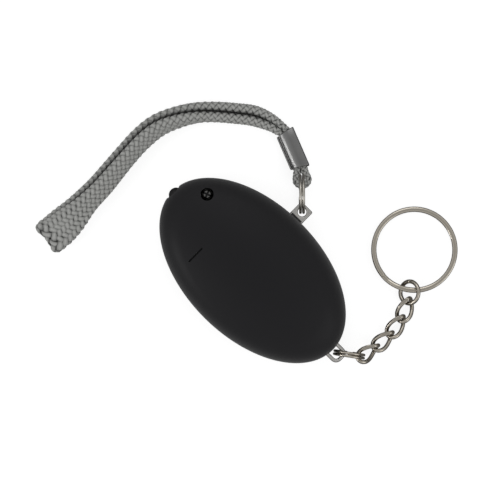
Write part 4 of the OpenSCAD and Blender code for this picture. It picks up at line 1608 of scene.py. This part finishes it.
    def eye_braid(self) -> Braid:
        """Small loop of braid from the ferrule round the ring and back.

        Returns:
            The braid.
        """
        out, left = -heading(self.eye_dir), heading(self.eye_dir - 90)
        drop = UP * (self.wire_at[2] - self.mouth_in[2])
        far = self.mouth_in + out * (self.eye_reach + self.eye_bend) + drop
        flare = self.mouth_in + out * self.eye_open + drop * self.eye_open_drop
        half = [self.grip - self.axis * self.grip_gap, self.mouth_in - self.axis * self.eye_neck]
        step = self.side * self.grip_step / 2
        spread = left * self.eye_lateral
        angles = np.radians(np.arange(-90, 91, self.eye_bend_step))
        loop = [
            far + spread * math.sin(q) + out * self.eye_lateral * math.cos(q) for q in angles
        ]
        aside = spread * self.eye_flare
        points = [*(p + step for p in half), flare - aside, *loop, flare + aside]
        points += [p - step for p in half[::-1]]
        path = smooth_curve(points, self.eye_samples)
        along = unit(np.gradient(path, axis=0))
        outward = unit(np.cross(along, UP))
        behind = np.abs(np.linspace(-1, 1, len(path)))
        necked = ease((behind - self.eye_neck_from) / self.eye_neck_over)
        return Braid(
            path,
            unit(np.cross(outward, along)),
            outward,
            np.full(len(path), self.eye_w),
            mix(self.eye_t, self.eye_neck_t, necked),
            np.zeros_like(path),
            strands=self.eye_strands,
            yarn_t=self.eye_yarn_t,
            weave=self.eye_weave,
            narrow_pitch=self.eye_pitch,
            give=1.0,
        )

    def legs(self) -> Legs:
        """Runs the two legs side by side along the route, leaning over as they go.

        Returns:
            The legs, a row for each sample of the route.
        """
        flat = smooth_curve(self.route, self.leg_samples)
        f = np.linspace(0, 1, len(flat))
        shape = smooth_curve(self.lean_and_width, self.leg_samples)
        lean, width = (np.interp(f, np.linspace(0, 1, len(shape)), column) for column in shape.T)
        c, s = np.cos(np.radians(lean))[:, None], np.sin(np.radians(lean))[:, None]
        opened = ease(f / self.bloom)
        thick = mix(self.grip_t, self.braid_t, opened)
        step = mix(self.grip_step, self.leg_step, opened)
        way = unit(np.gradient(flat, axis=0))
        right = np.column_stack([way[:, 1], -way[:, 0], np.zeros(len(way))])
        right = unit(mix(-self.side, right, ease(f / self.untwist)[:, None]))
        low = self.floor_gap + width / 2 * c[:, 0] + (thick + step) / 2 * s[:, 0]
        mid = np.column_stack([self.mouth_out[:2] + flat, np.maximum(self.mouth_out[2], low)])
        return Legs(mid, right * s + UP * c, right * c - UP * s, width, thick, step)

    def strap_braid(self) -> Braid:
        """The long braid: out along one leg, round the fold and back along the other.

        Returns:
            The braid.
        """
        legs = self.legs()
        through = legs.through
        reach = through * legs.step[:, None] / 2
        end = legs.mid[-1]
        way = unit(end - legs.mid[-2])
        q = np.radians(np.linspace(90, -90, self.fold_steps)[1:-1])[:, None]
        bend = through[-1] * np.sin(q) + way * np.cos(q)
        fold = end + bend * self.leg_step / 2
        start = self.grip + self.axis * self.grip_gap
        step = -self.side * self.grip_step / 2
        path = np.vstack([start + step, legs.mid + reach, fold, (legs.mid - reach)[::-1], start - step])
        out = np.vstack([through[:1], through, bend, -through[::-1], -through[:1]])
        across, width, thick = (
            np.concatenate(
                [row[:1], row, np.repeat(row[-1:], len(bend), axis=0), row[::-1], row[:1]]
            )
            for row in (legs.across, legs.width, legs.thick)
        )
        behind = np.linalg.norm(path - end, axis=1) - self.leg_step / 2
        draw = -way * self.fold_hollow * ease(1 - behind / self.fold_reach)[:, None]
        return Braid(path, across, out, width, thick, draw, mate=self.leg_step / 2)

    def build(self) -> list[bpy.types.Object]:
        """Makes the strap, its eye and the ferrule.

        Returns:
            The pieces.
        """
        braid = self.strap_braid()
        strap = dress(braid.piece("wrist_braid"), Body.STRAP, "braid", "wrist_strap")
        eye = dress(self.eye_braid().piece("eye_braid"), Body.STRAP, "braid", "strap_eye")
        sleeve = dress(self.ferrule(), Body.STRAP, "ferrule_metal", "strap_ferrule")
        tuple(self.mouth_out * MM)
        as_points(braid.path * MM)
        return [strap, eye, sleeve]


# Key chain


@dataclass
class Link:
    """Body and lie of one chain link, and its slack and lift after the one before."""

    body: Body
    heading: float
    pitch: float
    roll: float
    slack: float
    lift: float

    @property
    def way(self) -> np.ndarray:
        """Direction of the link's length."""
        pitch = math.radians(self.pitch)
        return heading(self.heading) * math.cos(pitch) - UP * math.sin(pitch)


@dataclass
class KeyChain:
    """Wire bail, split ring, four twisted links, jump ring and key ring."""

    case: Casing
    bail_wire: float = 1.1
    bail_out: float = 3.8
    bail_corner: float = 1.4
    bail_knee: float = 0.7
    bail_foot: tuple[float, float] = (4.2, -28.3)
    bail_straight: tuple[float, float] = (0.4, 0.2)
    bail_straight_steps: int = 10
    bail_knee_step: float = 15.0
    bail_corner_step: float = 6.0
    ring: SplitRing = field(default_factory=lambda: SplitRing(9.4, 0.8, 0.8))
    ring_dir: float = -54.0
    ring_lift: float = 0.2
    ring_slack: float = 0.25
    links: tuple[Link, ...] = (
        Link(Body.LINK_1, -10, 13.5, 39, 0.0, 0.0),
        Link(Body.LINK_2, -4, 2.5, 32, 0.3, 0.2),
        Link(Body.LINK_3, 9, -1, 24, 0.4, -0.1),
        Link(Body.LINK_4, 23, -1.5, 19, 0.5, -0.05),
    )
    link_wire: float = 1.2
    link_in_l: float = 6.0
    link_in_w: float = 2.9
    link_twist: float = 50.0
    link_power: float = 2.3
    link_press: float = 0.3
    first_drop: float = 1.3
    first_slack: float = 0.65
    jump_d: float = 7.6
    jump_wire: float = 1.2
    jump_dir: float = 41.0
    jump_tilt: float = -38.0
    jump_slack: float = 0.35
    jump_lift: float = 0.3
    jump_gap: float = 3.0
    key: SplitRing = field(
        default_factory=lambda: SplitRing(25.0, 1.5, 0.75, start=170.0, steps=420, power=2.15)
    )
    key_dir: float = 38.0
    key_offset: float = 0.7
    wire_aside: tuple[float, float, float] = (0.31, 0.17, 0.93)
    wire_tip: float = 0.2
    steps: int = 120
    sides: int = 18

    def __post_init__(self) -> None:
        """Works out where the rings and links sit, each from the one before."""
        end_y = self.bail_wire / 2 - self.case.tip - self.bail_out
        corner, plane = self.bail_corner, self.case.front_h
        self.corner_at = np.array([self.case.bail_x - corner, end_y + corner, plane])
        z = self.ring.outside_d / 2 + self.ring_lift
        touch = self.ring.outside_d / 2 - self.ring.radial - self.bail_wire / 2 - self.ring_slack
        way = heading(self.ring_dir)
        self.ring_at = self.corner_at + way * (corner + math.sqrt(touch**2 - (plane - z) ** 2))
        self.ring_at[2] = z
        first = self.ring_at + way * self.ring.reach(self.first_drop) - UP * self.first_drop
        hook = self.link_wire / 2 + self.ring.radial / 2 + self.first_slack
        self.half = (self.link_in_l + self.link_wire) / 2
        self.starts = [first - hook * self.links[0].way]
        self.ends = [self.starts[0] + 2 * self.half * self.links[0].way]
        for before, link in zip(self.links, self.links[1:]):
            between = heading((before.heading + link.heading) / 2)
            nip = self.link_wire + link.slack
            self.starts.append(self.ends[-1] - nip * between + UP * link.lift)
            self.ends.append(self.starts[-1] + 2 * self.half * link.way)
        self.jump_mid = (self.jump_d - self.jump_wire) / 2
        nip = (self.link_wire + self.jump_wire) / 2 + self.jump_slack
        back = heading((self.links[-1].heading + self.jump_dir) / 2)
        self.jump_at = self.ends[-1] + UP * self.jump_lift - nip * back
        self.jump_at += self.jump_mid * heading(self.jump_dir)
        near, far = self.jump_at[2], self.key.turn_h + self.key.gap
        self.key_tilt = math.degrees(math.asin((near - far) / (2 * self.key.middle)))
        self.key_at = self.jump_at + (self.key.middle + self.key_offset) * heading(self.key_dir)
        self.key_at[2] = (near + far) / 2

    def wire(
        self, name: str, path: np.ndarray, d: float, finish: Finish, closed: bool, press: float = 0.0
    ) -> bpy.types.Object:
        """Round wire along a path.

        Args:
            name: Name of the piece.
            path: Middle of the wire.
            d: Wire thickness.
            finish: Finish of the wire.
            closed: The path runs round.
            press: How much its top and underside are pressed flat.

        Returns:
            The piece.
        """
        after, before = np.roll(path, -1, 0), np.roll(path, 1, 0)
        if not closed:
            after[-1], before[0] = path[-1], path[0]
        along = unit(after - before)
        u = unit(np.cross(along, self.wire_aside))
        for k in range(1, len(path)):
            u[k] = unit(u[k - 1] - along[k] * (u[k - 1] @ along[k]))
        rings = sweep(path, u, np.cross(along, u), oval(self.sides) * d / 2)
        z = rings[..., 2]
        rings[..., 2] = np.clip(z, z.min() + press, z.max() - press)
        if not closed:
            rings = rounded_ends(rings, path, self.wire_tip * d)
        return skin(name, rings, finish, closed=closed)

    def bail(self) -> bpy.types.Object:
        """Wire bail with its feet inside the casing.

        Returns:
            The bail.
        """
        foot_x, foot_y = self.bail_foot
        corner_x, corner_y, plane = self.corner_at
        leg_x, knee, corner = self.case.bail_x, self.bail_knee, self.bail_corner
        half = [(foot_x, foot_y)]
        for q in np.radians(np.arange(0, 91, self.bail_knee_step)):
            half.append((leg_x + knee * (1 - math.sin(q)), foot_y - knee * (1 - math.cos(q))))
        knee_gap, corner_gap = self.bail_straight
        straight = (half[-1][1] - knee_gap, corner_y + corner_gap)
        half += [(leg_x, y) for y in np.linspace(*straight, self.bail_straight_steps)]
        for q in np.radians(np.arange(0, 91, self.bail_corner_step)):
            half.append((corner_x + corner * math.cos(q), corner_y - corner * math.sin(q)))
        path = half + [(-x, y) for x, y in half[::-1]]
        points = np.array([(x, y, plane) for x, y in path])
        return self.wire("bail_wire", points, self.bail_wire, BRIGHT_PLATE, False)

    def link(self, k: int) -> bpy.types.Object:
        """One twisted link.

        Args:
            k: Its place in the chain, from 0.

        Returns:
            The link.
        """
        size = [self.half, (self.link_in_w + self.link_wire) / 2]
        x, y = (oval(self.steps, self.link_power, 0.5) * size).T
        twist = np.radians(self.link_twist) * x / self.half
        path = np.stack([x, y * np.cos(twist), y * np.sin(twist)], axis=1)
        link = self.links[k]
        spin = turn(link.roll, link.pitch, link.heading)
        lying = path @ spin.T + (self.starts[k] + self.ends[k]) / 2
        return self.wire(f"link_wire_{k + 1}", lying, self.link_wire, NICKEL, True, self.link_press)

    def jump_ring(self) -> bpy.types.Object:
        """Wire ring whose ends meet.

        Returns:
            The ring.
        """
        angles = np.linspace(self.jump_gap / 2, 360 - self.jump_gap / 2, self.steps)
        spin = turn(self.jump_tilt, 0, self.jump_dir)
        path = heading(angles) * self.jump_mid @ spin.T + self.jump_at
        return self.wire("jump_ring_wire", path, self.jump_wire, NICKEL, False)

    def chain_ring(self) -> bpy.types.Object:
        """Split ring that stands on the bail."""
        on_edge = turn(90, 0, self.ring_dir)
        return self.ring.piece("bail_ring_wire", on_edge, self.ring_at, NICKEL)

    def key_ring(self) -> bpy.types.Object:
        """Large split ring that leans on the jump ring."""
        leaning = turn(0, self.key_tilt, self.key_dir)
        return self.key.piece("key_ring_wire", leaning, self.key_at, NICKEL)

    def build(self) -> list[bpy.types.Object]:
        """Makes the chain from the bail to the key ring.

        Returns:
            The pieces.
        """
        return [
            dress(self.bail(), Body.CASING, "pin_metal", "key_bail"),
            dress(self.chain_ring(), Body.BAIL_RING, "nickel_wire", "chain_ring"),
            *[
                dress(self.link(k), link.body, "nickel_wire", f"chain_link_{k + 1}")
                for k, link in enumerate(self.links)
            ],
            dress(self.jump_ring(), Body.WIRE_RING, "nickel_wire", "jump_ring"),
            dress(self.key_ring(), Body.KEY_RING, "nickel_wire", "key_ring"),
        ]


# Studio


@dataclass
class Lamp:
    """Soft square lamp: its name, place, side in millimetres and power in watts."""

    name: str
    place: tuple[float, float, float]
    size: float
    power: float

    def build(self) -> None:
        """Makes the lamp and aims it at the part."""
        data = bpy.data.lights.new(self.name, "AREA")
        data.shape = "SQUARE"
        data.size = self.size * MM
        data.energy = self.power
        made = add(self.name, data)
        made.location = Vector(self.place) * MM
        made.rotation_euler = (-Vector(self.place)).to_track_quat("-Z", "Y").to_euler()


@dataclass
class Studio:
    """Camera of the photograph, white floor, soft lamps and a plain bright surround.

    Each row of the sky is a height, from 0 level to 1 overhead, and the light from there.
    """

    aim: tuple[float, float, float] = (3.67, 4.69, 7.0)
    view_w: float = 144.1
    distance: float = 1200.0
    roll: float = -45.32
    sensor: float = 36.0
    clip: tuple[float, float] = (10.0, 10000.0)
    floor_half: float = 1500.0
    floor_z: float = -0.02
    floor_white: float = 0.8
    shown_white: float = 0.3
    shown_glow: float = 0.84
    mirrored_white: float = 0.15
    mirrored_glow: float = 0.06
    sky: tuple[tuple[float, float], ...] = (
        (0.0, 0.10), (0.15, 0.13), (0.4, 0.55), (0.62, 0.75), (0.85, 0.75), (0.96, 0.58), (1.0, 0.5),
    )
    lamps: tuple[Lamp, ...] = (
        Lamp("side_box", (-620.0, 310.0, 340.0), 210.0, 1.0),
        Lamp("far_box", (420.0, 420.0, 660.0), 330.0, 0.5),
        Lamp("near_box", (200.0, -640.0, 420.0), 480.0, 0.8),
    )

    def camera(self) -> None:
        """Sets a long lens straight above, turned to the photograph's frame."""
        data = bpy.data.cameras.new("photo_camera")
        data.sensor_width = self.sensor
        data.lens = self.sensor * self.distance / self.view_w
        data.clip_start, data.clip_end = (reach * MM for reach in self.clip)
        made = add("photo_camera", data)
        x, y, z = self.aim
        made.location = Vector((x, y, z + self.distance)) * MM
        made.rotation_euler = (0.0, 0.0, math.radians(self.roll))
        bpy.context.scene.camera = made

    def white(self, graph: Graph, colour: float, glow: float) -> Wire:
        """Matt white that takes shadow, with some light of its own.

        Args:
            graph: Where the nodes go.
            colour: How white it is.
            glow: Its own light, 1 for white.

        Returns:
            The shader.
        """
        matt = graph.node("ShaderNodeBsdfDiffuse", None, {"Color": (colour, colour, colour, 1.0)})
        light = graph.node("ShaderNodeEmission", None, {"Color": (1, 1, 1, 1), "Strength": glow})
        return graph.node("ShaderNodeAddShader", None, {0: matt, 1: light})

    def floor(self) -> None:
        """Lays a floor: near white to the camera, dim in the metal, and plain white as light."""
        h, z = self.floor_half * MM, self.floor_z * MM
        mesh = bpy.data.meshes.new("studio_floor")
        mesh.from_pydata([(-h, -h, z), (h, -h, z), (h, h, z), (-h, h, z)], [], [[0, 1, 2, 3]])
        paint = bpy.data.materials.new("studio_white")
        graph = Graph(paint)
        camera, gloss, glass = (
            graph.node("ShaderNodeLightPath", output=name)
            for name in ("Is Camera Ray", "Is Glossy Ray", "Is Transmission Ray")
        )
        lit = self.white(graph, self.floor_white, 0.0)
        mirrored = self.white(graph, self.mirrored_white, self.mirrored_glow)
        shown = self.white(graph, self.shown_white, self.shown_glow)
        bright = gloss.larger(glass)
        inner = graph.node("ShaderNodeMixShader", None, {0: bright, 1: lit, 2: mirrored})
        outer = graph.node("ShaderNodeMixShader", None, {0: camera, 1: inner, 2: shown})
        graph.node("ShaderNodeOutputMaterial", None, {"Surface": outer})
        mesh.materials.append(paint)
        add("studio_floor", mesh)

    def surround(self) -> None:
        """Sets a world that is bright high up, dimmer overhead, dark low down, white to the camera."""
        world = bpy.data.worlds.new("studio")
        bpy.context.scene.world = world
        graph = Graph(world)
        way = graph.node("ShaderNodeTexCoord", output="Generated")
        up = graph.node("ShaderNodeSeparateXYZ", None, {0: way}, output=2)
        stops = [(place, (level, level, level)) for place, level in self.sky]
        side = graph.node("ShaderNodeValToRGB", {"stops": stops}, {0: up})
        camera = graph.node("ShaderNodeLightPath", output="Is Camera Ray")
        inputs = {"Color": (1, 1, 1, 1), "Strength": side + camera * (1.0 - side)}
        light = graph.node("ShaderNodeBackground", None, inputs)
        graph.node("ShaderNodeOutputWorld", None, {"Surface": light})

    def build(self) -> None:
        """Makes the camera, floor, surround and lamps."""
        bpy.context.scene.view_settings.view_transform = "Standard"
        self.camera()
        self.floor()
        self.surround()
        for lamp in self.lamps:
            lamp.build()


# The whole part


def dress_carried() -> None:
    """Gives each CAD node that still shows, or lies inside, its finish."""
    for finish, names in CARRIED.items():
        for name in names:
            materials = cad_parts[name].data.materials
            materials.clear()
            materials.append(finish.material())
            LOG.info("%s keeps its solid, in %s", name, finish.name)


def main() -> None:
    """Builds the studio, then the part from the strap to the button."""
    logging.basicConfig(level=logging.INFO, format="%(name)s: %(message)s")
    Studio().build()
    case = Casing()
    pin = PullPin(case)
    assemblies = (WristStrap(pin), pin, KeyChain(case), case, PushButton(case))
    pieces = [piece for assembly in assemblies for piece in assembly.build()]
    dress_carried()
    LOG.info("%d pieces built", len(pieces))


if __name__ == "__main__":
    main()
